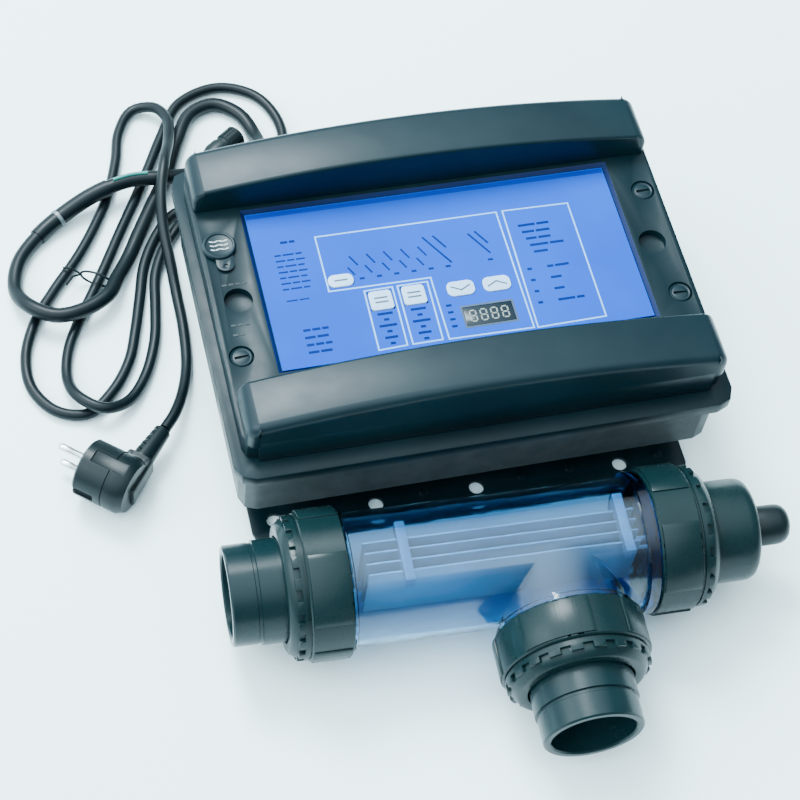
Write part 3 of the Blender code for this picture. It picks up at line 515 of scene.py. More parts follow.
# ---------------------------------------------------------------- modelling steps
class Bench:
    """The steps of modelling by hand that every sub-assembly shares."""

    @staticmethod
    def only(obj: bpy.types.Object) -> bpy.types.Object:
        """Leaves object mode on, with this object alone selected and active."""
        if bpy.context.mode != "OBJECT":
            bpy.ops.object.mode_set(mode="OBJECT")
        bpy.ops.object.select_all(action="DESELECT")
        obj.select_set(True)
        bpy.context.view_layer.objects.active = obj
        return obj

    @staticmethod
    def clear() -> None:
        """Deselects everything before a primitive is added."""
        if bpy.context.mode != "OBJECT":
            bpy.ops.object.mode_set(mode="OBJECT")
        bpy.ops.object.select_all(action="DESELECT")

    @staticmethod
    def named(name: str) -> bpy.types.Object:
        """Names the new primitive, and applies its place and size."""
        obj = bpy.context.object
        obj.name = obj.data.name = name
        bpy.ops.object.transform_apply(location=True, rotation=True, scale=True)
        return obj

    @classmethod
    def block(cls, name: str, low: Point, high: Point) -> bpy.types.Object:
        """A cube stretched between two corners."""
        cls.clear()
        low, high = Vector(low), Vector(high)
        bpy.ops.mesh.primitive_cube_add(size=1.0, location=(low + high) / 2)
        bpy.context.object.scale = high - low
        return cls.named(name)

    @classmethod
    def rod(
        cls, name: str, radius: float, low: float, high: float, sides: int = 48,
        centre: tuple[float, float] = (0, 0),
    ) -> bpy.types.Object:
        """An upright cylinder.

        Args:
            name: the object's name.
            radius: its radius.
            low: its lower end's height.
            high: its upper end's height.
            sides: the number of its sides.
            centre: its axis's x and y.

        Returns:
            The object.
        """
        cls.clear()
        bpy.ops.mesh.primitive_cylinder_add(
            vertices=sides, radius=radius, depth=high - low, location=(*centre, (low + high) / 2)
        )
        return cls.named(name)

    @classmethod
    def pick(cls, obj: bpy.types.Object, kind: str, test: Callable[[object], bool]) -> int:
        """Selects what passes a test, in edit mode.

        Args:
            obj: the object, which is put in edit mode.
            kind: VERT, EDGE or FACE.
            test: is given each element.

        Returns:
            How many were selected.
        """
        if bpy.context.mode != "EDIT_MESH" or bpy.context.object != obj:
            cls.only(obj)
            bpy.ops.object.mode_set(mode="EDIT")
        bpy.ops.mesh.select_mode(type=kind)
        bpy.ops.mesh.select_all(action="DESELECT")
        shape = bmesh.from_edit_mesh(obj.data)
        chosen = [
            e for e in {"VERT": shape.verts, "EDGE": shape.edges, "FACE": shape.faces}[kind] if test(e)
        ]
        for element in chosen:
            element.select_set(True)
        shape.select_flush_mode()
        bmesh.update_edit_mesh(obj.data)
        return len(chosen)

    @staticmethod
    def grow(move: Point = (0, 0, 0)) -> None:
        """Extrudes what is selected and moves it."""
        bpy.ops.mesh.extrude_region_move(TRANSFORM_OT_translate={"value": move})

    @classmethod
    def turned(cls, name: str, profile: Profile, steps: int = 96) -> bpy.types.Object:
        """Draws a profile in the XZ plane, point by point, and spins it round Z.

        Args:
            name: the object's name.
            profile: radius and height pairs. Where it isn't on the axis, it closes on its first point.
            steps: the number of sides.

        Returns:
            The object, in object mode.
        """
        cls.clear()
        bpy.ops.mesh.primitive_plane_add(size=0.001, location=(0, 0, 0))
        obj = cls.named(name)
        bpy.ops.object.mode_set(mode="EDIT")
        bpy.ops.mesh.select_mode(type="VERT")
        bpy.ops.mesh.select_all(action="SELECT")
        bpy.ops.mesh.merge(type="CENTER")
        points = list(profile)
        if points[0][0] > 1e-6 or points[-1][0] > 1e-6:
            points.append(points[0])
        at = Vector((0.0, 0.0, 0.0))
        for number, (radius, height) in enumerate(points):
            goal = Vector((radius, 0.0, height))
            if number == 0:
                bpy.ops.transform.translate(value=goal - at)
            else:
                cls.grow(tuple(goal - at))
            at = goal
        bpy.ops.mesh.select_all(action="SELECT")
        bpy.ops.mesh.remove_doubles(threshold=1e-6)
        bpy.ops.mesh.spin(steps=steps, angle=2 * math.pi, center=(0, 0, 0), axis=(0, 0, 1))
        bpy.ops.mesh.select_all(action="SELECT")
        bpy.ops.mesh.remove_doubles(threshold=2e-6)
        bpy.ops.mesh.normals_make_consistent(inside=False)
        bpy.ops.object.mode_set(mode="OBJECT")
        return obj

    @classmethod
    def change(cls, obj: bpy.types.Object, kind: str, **settings: object) -> bpy.types.Object:
        """Adds a modifier with these settings and applies it."""
        cls.only(obj)
        modifier = obj.modifiers.new(kind.lower(), kind)
        for name, value in settings.items():
            setattr(modifier, name, value)
        bpy.ops.object.modifier_apply(modifier=modifier.name)
        return obj

    @classmethod
    def ease(
        cls, obj: bpy.types.Object, width: float, segments: int = 2, angle: float = 30.0
    ) -> bpy.types.Object:
        """Rounds every edge sharper than an angle in degrees."""
        return cls.change(
            obj, "BEVEL", width=width, segments=segments, limit_method="ANGLE", angle_limit=math.radians(
                angle
            ), use_clamp_overlap=True
        )

    @classmethod
    def cut(cls, obj: bpy.types.Object, *tools: bpy.types.Object) -> bpy.types.Object:
        """Cuts each tool's shape out, and removes the tool."""
        for tool in tools:
            cls.change(obj, "BOOLEAN", operation="DIFFERENCE", solver="EXACT", object=tool)
            bpy.data.objects.remove(tool, do_unlink=True)
        return obj

    @classmethod
    def fuse(
        cls, obj: bpy.types.Object, *tools: bpy.types.Object, solver: str = "EXACT"
    ) -> bpy.types.Object:
        """Joins each tool's shape on, and removes the tool."""
        for tool in tools:
            cls.change(obj, "BOOLEAN", operation="UNION", solver=solver, object=tool)
            bpy.data.objects.remove(tool, do_unlink=True)
        return obj

    @classmethod
    def lay(cls, obj: bpy.types.Object, *steps: Matrix) -> bpy.types.Object:
        """Applies placing matrices to the mesh, the first one first."""
        cls.only(obj)
        for step in steps:
            obj.matrix_world = step @ obj.matrix_world
        bpy.context.view_layer.update()
        bpy.ops.object.transform_apply(location=True, rotation=True, scale=True)
        return obj

    @classmethod
    def joined(cls, name: str, objects: Sequence[bpy.types.Object]) -> bpy.types.Object:
        """Several loose shapes made one object."""
        cls.only(objects[0])
        for other in objects:
            other.select_set(True)
        bpy.ops.object.join()
        obj = bpy.context.object
        obj.name = obj.data.name = name
        return obj

    @classmethod
    def traced(cls, node: str, name: str, width: float = 0.0004) -> bpy.types.Object:
        """A clean copy of a CAD node: its points merged, its flat areas made whole and its edges eased.

        Args:
            node: the CAD node.
            name: the new piece's name.
            width: how wide its edges are eased.

        Returns:
            The piece.
        """
        source = FRAME.nodes[node]
        obj = bpy.data.objects.new(name, source.data.copy())
        obj.data.materials.clear()
        bpy.context.scene.collection.objects.link(obj)
        cls.only(obj)
        bpy.ops.object.mode_set(mode="EDIT")
        bpy.ops.mesh.select_all(action="SELECT")
        bpy.ops.mesh.remove_doubles(threshold=5e-6)
        bpy.ops.mesh.dissolve_limited(angle_limit=math.radians(0.6))
        bpy.ops.object.mode_set(mode="OBJECT")
        for attribute in [a for a in obj.data.attributes if a.name == "custom_normal"]:
            obj.data.attributes.remove(attribute)
        if width:
            cls.ease(obj, width, 2, 32.0)
        return obj


@dataclass
class Frame:
    """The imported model: its nodes, its bodies and the box that it fills."""

    nodes: dict[str, bpy.types.Object] = field(default_factory=dict)
    low: Vector = field(default_factory=Vector)
    high: Vector = field(default_factory=Vector)
    shown: int = 0

    def load(self) -> None:
        """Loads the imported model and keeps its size."""
        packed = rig.load()
        self.nodes = packed["nodes"]
        self.low, self.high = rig.bounds()

    def write_size(self, path: str) -> None:
        """Writes the CAD's box and the visual model's box, to compare.

        Args:
            path: the file that they are written to.
        """
        low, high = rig.bounds()
        sizes = {
            "cad": [list(self.low), list(self.high)],
            "visual": [list(low), list(high)],
        }
        with open(path, "w") as file:
            json.dump(sizes, file)


FRAME = Frame()


@dataclass
class Assembly:
    """A group of pieces that share a home frame and, unless one says otherwise, a body."""

    home: Home = Home.WORLD
    body: str = "base"

    def show(
        self,
        obj: bpy.types.Object,
        finish: Finish,
        slot: str,
        body: str | None = None,
        replaces: Iterable[str] = (),
        smooth: float = 38.0,
        home: Home | None = None,
    ) -> bpy.types.Object:
        """Sets a finished piece down, dresses it and hangs it on its body.

        Args:
            obj: the piece, in its home frame.
            finish: its finish.
            slot: the record's material slot.
            body: the body it moves with, if not the assembly's own.
            replaces: the CAD nodes that it stands for.
            smooth: the angle in degrees up to which it is shaded smooth.
            home: its home frame, if not the assembly's own.

        Returns:
            The piece.
        """
        Bench.lay(obj, (home or self.home).matrix())
        if obj.type == "MESH":
            bpy.ops.object.shade_smooth_by_angle(angle=math.radians(smooth))
        obj.data.materials.clear()
        obj.data.materials.append(finish.material())
        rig.ride(obj, body or self.body)
        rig.slot(obj, slot)
        names = list(replaces)
        if names:
            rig.replaces(obj, *names)
        FRAME.shown += 1
        LOG.info("%s on %s in %s", obj.name, body or self.body, finish.name)
        return obj

    def dress(self, node: str, finish: Finish) -> None:
        """Gives a CAD node that stays its finish.

        Args:
            node: the node's name.
            finish: its finish.
        """
        obj = FRAME.nodes[node]
        for slot in obj.material_slots:
            slot.material = finish.material()
        if not obj.material_slots:
            obj.data.materials.append(finish.material())
        LOG.info("%s kept, in %s", node, finish.name)


# ---------------------------------------------------------------- studio
@dataclass
class Studio:
    """The floor, the lights and the camera."""

    eye: Point = (-0.291675, -0.608942, 1.110486)
    turn: Point = (31.50717, -4.88845, -13.28458)
    lens: float = 91.0143
    shift: tuple[float, float] = (0.01271, 0.04044)
    horizon: float = 0.6
    overhead: float = 7.6
    brightest: Point = (-0.45, 0.15, 0.88)
    dome_share: tuple[float, float] = (0.36, 0.97)
    sky_colour: Colour = (0.76, 0.93, 1.0)

    def build(self) -> None:
        """Makes all of the studio."""
        self.camera()
        self.floor()
        self.light("key", (-0.36, 0.98, 1.56), (-0.05, 0.05, 0.05), 0.68, 84.0, (0.80, 0.95, 1.0))
        self.light("fill", (-1.20, 0.10, 0.95), (-0.05, 0.0, 0.03), 0.70, 9.0, (0.82, 0.95, 1.0))
        self.sky()

    def camera(self) -> None:
        """The camera stands in front and looks steeply down."""
        data = bpy.data.cameras.new("camera")
        data.lens, data.sensor_width = self.lens, 36.0
        data.shift_x, data.shift_y = self.shift
        data.clip_start, data.clip_end = 0.05, 30.0
        camera = bpy.data.objects.new("camera", data)
        camera.location = self.eye
        camera.rotation_euler = Euler([math.radians(a) for a in self.turn], "XYZ")
        bpy.context.scene.collection.objects.link(camera)
        bpy.context.scene.camera = camera

    def floor(self) -> None:
        """One plain pale sheet."""
        Bench.clear()
        bpy.ops.mesh.primitive_plane_add(size=14.0, location=(0, 0, -0.0002))
        floor = Bench.named("floor")
        floor.data.materials.append(FLOOR_PALE.material())
        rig.stage(floor)

    def light(self, name: str, place: Point, aim: Point, size: float, power: float, colour: Colour) -> None:
        """A soft square light.

        Args:
            name: the light's name.
            place: where it stands.
            aim: the point it faces.
            size: its side.
            power: its power in watts.
            colour: its colour.
        """
        data = bpy.data.lights.new(name, "AREA")
        data.shape, data.size, data.energy, data.color = "SQUARE", size, power, colour
        obj = bpy.data.objects.new(name, data)
        obj.location = place
        obj.rotation_euler = (Vector(aim) - Vector(place)).to_track_quat("-Z", "Y").to_euler()
        bpy.context.scene.collection.objects.link(obj)

    def sky(self) -> None:
        """A pale dome that is brightest overhead and a little to the left."""
        world = bpy.data.worlds.new("studio")
        world.use_nodes = True
        tree = world.node_tree
        where = tree.nodes.new("ShaderNodeTexCoord")
        lean = tree.nodes.new("ShaderNodeVectorMath")
        lean.operation = "DOT_PRODUCT"
        lean.inputs[1].default_value = self.brightest
        ramp = tree.nodes.new("ShaderNodeMapRange")
        ramp.inputs["From Min"].default_value = self.dome_share[0]
        ramp.inputs["From Max"].default_value = self.dome_share[1]
        ramp.inputs["To Min"].default_value = self.horizon
        ramp.inputs["To Max"].default_value = self.overhead
        tree.links.new(where.outputs["Generated"], lean.inputs[0])
        tree.links.new(lean.outputs["Value"], ramp.inputs["Value"])
        background = tree.nodes["Background"]
        background.inputs["Color"].default_value = (*self.sky_colour, 1.0)
        tree.links.new(ramp.outputs["Result"], background.inputs["Strength"])
        bpy.context.scene.world = world


# ---------------------------------------------------------------- leads
def wire(name: str, points: Sequence[Vector], radius: float, resolution: int = 5) -> bpy.types.Object:
    """A round wire through points, as a curve object.

    Args:
        name: its name.
        points: its middle line.
        radius: its radius.
        resolution: how many steps round a quarter of it.

    Returns:
        The curve.
    """
    curve = bpy.data.curves.new(name, "CURVE")
    curve.dimensions = "3D"
    curve.bevel_depth = radius
    curve.bevel_resolution = resolution
    curve.use_fill_caps = True
    spline = curve.splines.new("POLY")
    spline.points.add(len(points) - 1)
    for target, point in zip(spline.points, points):
        target.co = (*point, 1.0)
    spline.use_smooth = True
    obj = bpy.data.objects.new(name, curve)
    bpy.context.scene.collection.objects.link(obj)
    return obj


MAINS_ROUTE: tuple[Point, ...] = (
    (-118, 131, 52), (-118.3, 139, 50.5), (-122, 146, 41), (-129, 145, 26), (-138, 138, 12),
    (-150, 128.5, 4.6), (-161, 113, 4.3),
    (-169, 94, 4.3), (-173, 70, 4.3), (-178, 44, 4.3), (-189, 17, 4.3), (-203, -1, 7), (-219, -7, 13.0),
    (-233, 4, 12.6), (-238, 22, 6), (-235, 43, 4.3), (-226, 64, 4.3), (-213, 86, 4.3), (-200, 109, 4.3),
    (-187, 133, 4.3), (-173, 158, 4.3), (-159, 184, 4.3), (-144, 213, 4.3), (-127, 240, 4.3),
    (-98, 250, 4.3),
    (-73, 239, 4.3), (-61, 214, 4.3), (-63, 188, 4.3), (-80, 167, 4.3), (-103, 156, 4.3), (-128, 150, 4.3),
    (-149, 143, 4.3), (-163, 127, 4.3), (-175, 104, 4.3), (-182, 79, 4.3), (-189, 54, 4.3), (-197, 31, 4.3),
    (-211, 10, 4.3), (-229, -4, 4.3), (-248, 1, 4.3), (-261, 20, 4.3), (-262, 44, 4.3), (-253, 70, 4.3),
    (-236, 95, 4.3), (-217, 119, 4.3), (-201, 144, 4.3), (-188, 170, 4.3), (-179, 196, 4.3),
    (-173, 220, 4.3),
    (-161, 238, 4.8), (-146, 235, 9.5), (-139, 219, 14.5), (-142, 196, 20), (-149, 172, 27.5),
    (-155, 150, 24),
    (-158, 126, 16.5), (-157.5, 103, 10), (-157.5, 80, 4.5), (-158, 50, 4.3), (-161, 22, 4.6),
    (-167.5, -1, 9),
    (-176.5, -20.5, 14.4), (-184.6, -31.3, 16.2),
)
CELL_ROUTE: tuple[Point, ...] = (
    (-80, 131.5, 52), (-80, 142, 50), (-80, 157, 38), (-80, 178, 18), (-80, 200, 6.5), (-87, 222, 5.5),
    (-103, 234, 5.5), (-121, 228, 5.5), (-134, 206, 5.5), (-147, 177, 5.5), (-161, 153, 5.5),
    (-173, 132, 5.5),
    (-184, 112, 5.5), (-194, 95, 8.5), (-203, 79, 13), (-220, 69, 14.8), (-238, 67, 15.4), (-254, 78, 14.4),
    (-261, 98, 6.5), (-256, 120, 5.5), (-240, 140, 5.5), (-219, 154, 9), (-197, 163, 14), (-173, 168, 16.8),
    (-150, 167, 16.4), (-134, 170, 12.2), (-125, 175.7, 10.0), (-118, 181.2, 9.8),
)


@dataclass
class Lead(Assembly):
    """A round lead on a smooth curve through its route."""

    home: Home = Home.BOX
    name: str = "lead"
    node: str = "lead"
    route: tuple[Point, ...] = ()
    diameter: float = 0.007
    spacing: float = 0.004

    def smooth(self) -> list[Vector]:
        """Evenly spaced points on a centripetal Catmull-Rom curve through the route.

        Returns:
            The points, in the home frame, in metres.
        """
        stops = [Vector(stop) / 1000 for stop in self.route]
        stops = [2 * stops[0] - stops[1], *stops, 2 * stops[-1] - stops[-2]]
        fine: list[Vector] = []
        for a, b, c, d in zip(stops, stops[1:], stops[2:], stops[3:]):
            t = [0.0]
            for first, second in ((a, b), (b, c), (c, d)):
                t.append(t[-1] + math.sqrt((second - first).length))
            for step in range(16):
                u = t[1] + (t[2] - t[1]) * step / 16
                ab = a.lerp(b, u / t[1])
                bc = b.lerp(c, (u - t[1]) / (t[2] - t[1]))
                cd = c.lerp(d, (u - t[2]) / (t[3] - t[2]))
                near, far = ab.lerp(bc, u / t[2]), bc.lerp(cd, (u - t[1]) / (t[3] - t[1]))
                fine.append(near.lerp(far, (u - t[1]) / (t[2] - t[1])))
        fine.append(stops[-2])
        return self.spaced(fine)

    def spaced(self, fine: list[Vector]) -> list[Vector]:
        """The line resampled at the lead's spacing."""
        lengths = [0.0]
        for first, second in zip(fine, fine[1:]):
            lengths.append(lengths[-1] + (second - first).length)
        count = round(lengths[-1] / self.spacing)
        points, at = [], 0
        for step in range(count + 1):
            goal = lengths[-1] * step / count
            while at < len(fine) - 2 and lengths[at + 1] < goal:
                at += 1
            share = (goal - lengths[at]) / max(lengths[at + 1] - lengths[at], 1e-9)
            points.append(fine[at].lerp(fine[at + 1], share))
        return points

    def lay_lead(
        self, far_end: str, stiffness: str, others: Sequence[bpy.types.Object]
    ) -> bpy.types.Object:
        """Args:
            far_end: what its far end is.
            stiffness: how stiff it is.
            others: the pieces on it.

        Returns:
            The curve.
        """
        points = self.smooth()
        obj = wire(self.name, [point + BOX_PLACE for point in points], self.diameter / 2, 6)
        obj.data.materials.append(LEAD_BLACK.material())
        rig.ride(obj, self.body)
        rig.slot(obj, "rubber")
        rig.replaces(obj, self.node)
        length = sum((b - a).length for a, b in zip(points, points[1:]))
        start = points[0] + BOX_PLACE
        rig.cord(
            obj, tuple(start), round(length, 3), self.diameter, far_end, stiffness, "loose",
            with_pieces=list(others),
        )
        FRAME.shown += 1
        LOG.info("%s is %.3f m long", self.name, length)
        return obj


def toward(direction: Vector, place: Vector) -> Matrix:
    """The matrix that takes +Z to a direction and the origin to a place."""
    return Matrix.Translation(place) @ direction.to_track_quat("Z", "Y").to_matrix().to_4x4()


@dataclass
class Plug(Assembly):
    """The angled earthed plug: its disc, its arm, its pins and its ribbed relief."""

    home: Home = Home.BOX
    face: Vector = field(default_factory=lambda: Vector((-0.2370, -0.0510, 0.0195)))
    out: Vector = field(default_factory=lambda: Vector((-0.775, 0.632, 0.0)).normalized())
    arm: Vector = field(default_factory=lambda: Vector((0.670, 0.742, 0.0)).normalized())
    radius: float = 0.0188
    depth: float = 0.0340
    arm_long: float = 0.0215
    rib_pitch: float = 0.0046

    def build(self) -> list[bpy.types.Object]:
        """Makes the plug's pieces.

        Returns:
            All of them.
        """
        return [self.head(), *self.pins(), self.relief()]

    def head(self) -> bpy.types.Object:
        """The disc and the arm that leaves it, in one moulding."""
        r, d = self.radius, self.depth
        head = Bench.turned(
            "plug_head",
            (
                (0.0, -0.0022), (r - 0.0050, -0.0022), (r - 0.0046, 0.0), (r - 0.0012, 0.0), (r, -0.0012),
                (r, -0.0196),
                (r - 0.0007, -0.0200), (r - 0.0007, -0.0214), (r, -0.0218), (r, -0.0296), (r - 0.0026, -d),
                (0.0, -d),
            ),
            72,
        )
        for side in (-1, 1):
            notch = Bench.block(
                "notch", (side * r - 0.0022, -0.0032, -0.0150), (side * r + 0.0022, 0.0032, 0.0020)
            )
            Bench.cut(head, Bench.ease(notch, 0.0005))
            grip = Bench.block(
                "grip", (-0.0046, side * r - 0.0012, -0.0290), (0.0046, side * r + 0.0012, -0.0060)
            )
            Bench.cut(head, Bench.ease(grip, 0.0008))
        Bench.lay(head, toward(self.out, self.face))
        arm = Bench.block("arm", (-0.0112, -0.0100, -0.0040), (0.0112, 0.0100, self.arm_long))
        Bench.pick(arm, "FACE", lambda f: f.normal.z > 0.9)
        bpy.ops.transform.resize(value=(0.80, 0.86, 1.0))
        Bench.pick(arm, "EDGE", lambda e: abs(e.verts[0].co.z - e.verts[1].co.z) > 0.01)
        bpy.ops.mesh.bevel(offset=0.0042, segments=4, affect="EDGES")
        Bench.pick(arm, "FACE", lambda f: f.normal.y > 0.8 or f.normal.y < -0.8)
        bpy.ops.mesh.inset(thickness=0.0020, depth=-0.0011)
        Bench.ease(arm, 0.0005)
        Bench.lay(arm, toward(self.arm, self.arm_from()))
        Bench.fuse(head, arm, solver="MANIFOLD")
        return self.show(head, PLUG_BLACK, "black_plastic", replaces=["plug_body"], smooth=34)

    def arm_from(self) -> Vector:
        """Where the arm starts, inside the disc."""
        return self.face - self.out * 0.0255 - Vector((0, 0, 0.0033))

    def pins(self) -> list[bpy.types.Object]:
        """Two plated round pins."""
        pins = []
        for number, z in enumerate((-0.0095, 0.0095), 1):
            pin = Bench.turned(
                f"pin_{number}",
                (
                    (0.0, 0.0190), (0.0010, 0.0189), (0.0018, 0.0183), (0.0024, 0.0170), (0.0024, 0.0104),
                    (0.00225, 0.0102), (0.00225, -0.0070), (0.0, -0.0070),
                ),
                40,
            )
            Bench.lay(pin, toward(self.out, self.face + Vector((0, 0, z))))
            pins.append(self.show(pin, NICKEL, "nickel", replaces=[f"plug_pin_{number}"]))
        return pins

    def relief(self) -> bpy.types.Object:
        """The tapered relief, slotted on both sides so that it bends."""
        ribs, top = 5, 5 * self.rib_pitch + 0.0024
        relief = Bench.turned(
            "plug_relief_ribbed",
            (
                (0.0, top), (0.0046, top), (0.0054, top - 0.0006), (0.0072, 0.0012), (0.0074, 0.0),
                (0.0, 0.0),
            ),
            56,
        )
        for rib in range(ribs):
            low = 0.0026 + rib * self.rib_pitch
            for side in (-1, 1):
                slot = Bench.block(
                    "slot", (side * 0.0020, -0.0090, low), (side * 0.0090, 0.0090, low + 0.0021)
                )
                Bench.cut(relief, slot)
        Bench.ease(relief, 0.00025)
        Bench.lay(relief, toward(self.arm, self.arm_from() + self.arm * (self.arm_long + 0.0003)))
        return self.show(relief, PLUG_BLACK, "rubber", replaces=["plug_relief"], smooth=34)


@dataclass
class Leads(Assembly):
    """The two leads, what is on their ends and what holds them in a bundle."""

    home: Home = Home.BOX

    def build(self) -> None:
        """Lays both leads down."""
        plug = Plug().build()
        mains = Lead(name="mains_lead", node="mains_cord", route=MAINS_ROUTE, diameter=0.0075)
        tie = self.twist_tie()
        mains.lay_lead("plug", "medium", [*plug, tie])
        cell = Lead(name="cell_lead", node="cell_cable", route=CELL_ROUTE, diameter=0.0100)
        line = cell.smooth()
        pieces = [self.connector(), self.sleeve(line), self.ring(line), self.tape(line)]
        cell.lay_lead("connector", "medium", pieces)

    def nearest(self, line: list[Vector], x: float, y: float) -> int:
        """The number of a lead's point that is nearest to a place, seen from above."""
        return min(range(1, len(line) - 1), key=lambda number: (line[number].xy - Vector((x, y))).length)

    def hose(self, name: str, points: Sequence[Vector], radius: float) -> bpy.types.Object:
        """A short tube round part of a lead."""
        Bench.only(wire(name, points, radius))
        bpy.ops.object.convert(target="MESH")
        return bpy.context.object

    def sleeve(self, line: list[Vector]) -> bpy.types.Object:
        """The heat-shrink sleeve over the cell lead's middle."""
        first, last = self.nearest(line, -0.240, 0.140), self.nearest(line, -0.190, 0.1645)
        sleeve = self.hose("shrink_sleeve", line[first : last + 1], 0.0058)
        return self.show(Bench.ease(sleeve, 0.0004), LEAD_BLACK, "rubber")

    def ring(self, line: list[Vector]) -> bpy.types.Object:
        """The pale ring at the sleeve's end."""
        ring = Bench.turned(
            "sleeve_ring", ((0.0056, 0.0014), (0.0064, 0.0010), (0.0064, -0.0010), (0.0056, -0.0014)), 48
        )
        number = self.nearest(line, -0.226, 0.150)
        Bench.lay(ring, toward(line[number + 1] - line[number - 1], line[number]))
        return self.show(ring, SLEEVE_GREY, "terminal_grey")

    def tape(self, line: list[Vector]) -> bpy.types.Object:
        """A teal tie strip laid along the cell lead."""
        first, last = self.nearest(line, -0.190, 0.1645), self.nearest(line, -0.160, 0.168)
        side = Vector((0.0, 0.0006, 0.0052))
        points = [p + side for p in line[first + 1 : last + 1]]
        strip = self.hose("teal_tie_strip", points, 0.0013)
        return self.show(strip, TIE_TEAL, "black_plastic")

    def twist_tie(self) -> bpy.types.Object:
        """A wire tie twisted round the bundle's left side."""
        middle = Vector((-0.2080, 0.0965, 0.0086))
        across = Vector((0.86, -0.50, 0.0)).normalized()
        points = []
        for step in range(33):
            turn = 2 * math.pi * step / 32
            points.append(
                middle + across * 0.0108 * math.cos(turn) + Vector((0, 0, 0.0064 * math.sin(turn)))
            )
        loop = self.hose("twist_tie", points, 0.0008)
        ends = []
        for number, lean in enumerate((-0.6, 0.5)):
            start = middle - across * 0.0104
            ends.append(
                self.hose(
                    f"tie_end_{number}",
                    [
                        start, start + Vector((-0.006, lean * 0.006, 0.004)),
                        start + Vector((-0.011, lean * 0.013, 0.001)),
                    ],
                    0.0007,
                )
            )
        return self.show(Bench.joined("twist_tie", [loop, *ends]), LEAD_BLACK, "rubber")

    def connector(self) -> bpy.types.Object:
        """The cell lead's round locking connector."""
        out = Vector((0.786, 0.618, -0.01)).normalized()
        place = Vector((-0.1180, 0.1812, 0.0098)) + out * 0.0008
        shell = Bench.turned(
            "lead_connector",
            (
                (0.0, 0.0290), (0.0058, 0.0290), (0.0060, 0.0310), (0.0070, 0.0310), (0.0079, 0.0302),
                (0.0080, 0.0190),
                (0.0070, 0.0182), (0.0070, 0.0150), (0.0079, 0.0142), (0.0080, 0.0070), (0.0066, 0.0022),
                (0.0060, 0.0006), (0.0, 0.0006),
            ),
            72,
        )
        for step in range(16):
            rib = Bench.block("rib", (0.0074, -0.0005, 0.0196), (0.00815, 0.0005, 0.0290))
            Bench.cut(shell, Bench.lay(rib, Matrix.Rotation(2 * math.pi * step / 16, 4, "Z")))
        Bench.lay(shell, toward(out, place))
        return self.show(shell, PLUG_BLACK, "union_black", replaces=["cell_connector"])


# ---------------------------------------------------------------- control box
@dataclass
class Case(Assembly):
    """The stepped base, its wall plate, its glands and what it holds."""

    home: Home = Home.WORLD

    def build(self) -> None:
        """Makes the base's pieces."""
        self.show(
            Bench.traced("base_housing", "base_shell", 0.0009), BOX_BLACK, "black_plastic",
            replaces=["base_housing"],
        )
        self.show(
            Bench.traced("wall_plate", "wall_plate_eased", 0.0005), BOX_BLACK, "black_plastic",
            replaces=["wall_plate"],
        )
        for name in ("mains_gland", "cell_gland"):
            self.show(
                Bench.traced(name, f"{name}_dome", 0.0005), UNION_BLACK, "black_plastic", replaces=[name]
            )
        self.ledge_screws()
        inside = {
            "lid_gasket": RUBBER, "mains_gland_nut": UNION_BLACK, "cell_gland_nut": UNION_BLACK,
            "power_board": BOARD,
            "transformer_winding": COPPER, "transformer_bolt": STEEL, "heat_sink": ALUMINIUM,
            "relay": PART_GREY,
            "capacitor": PART_DARK, "terminal_block": PART_GREY, "fuse_holder": PART_DARK,
            "plate_screw_1": STEEL,
            "plate_screw_2": STEEL,
        }
        for node, finish in inside.items():
            self.dress(node, finish)

    def ledge_screws(self) -> None:
        """Small round bosses in a row along the wall plate's near and far edges, by its holes."""
        bosses = []
        for side in (-1, 1):
            for x in (-0.1120, -0.0310, 0.0340, 0.0660, 0.1260):
                boss = Bench.turned(
                    "boss",
                    ((0.0, 0.0044), (0.0022, 0.0042), (0.0030, 0.0034), (0.0032, 0.0031), (0.0, 0.0031)),
                    28,
                )
                bosses.append(Bench.lay(boss, Matrix.Translation((x, side * 0.0985, 0.0))))
        self.show(Bench.joined("plate_bosses", bosses), BOX_BLACK, "black_plastic", home=Home.BOX)


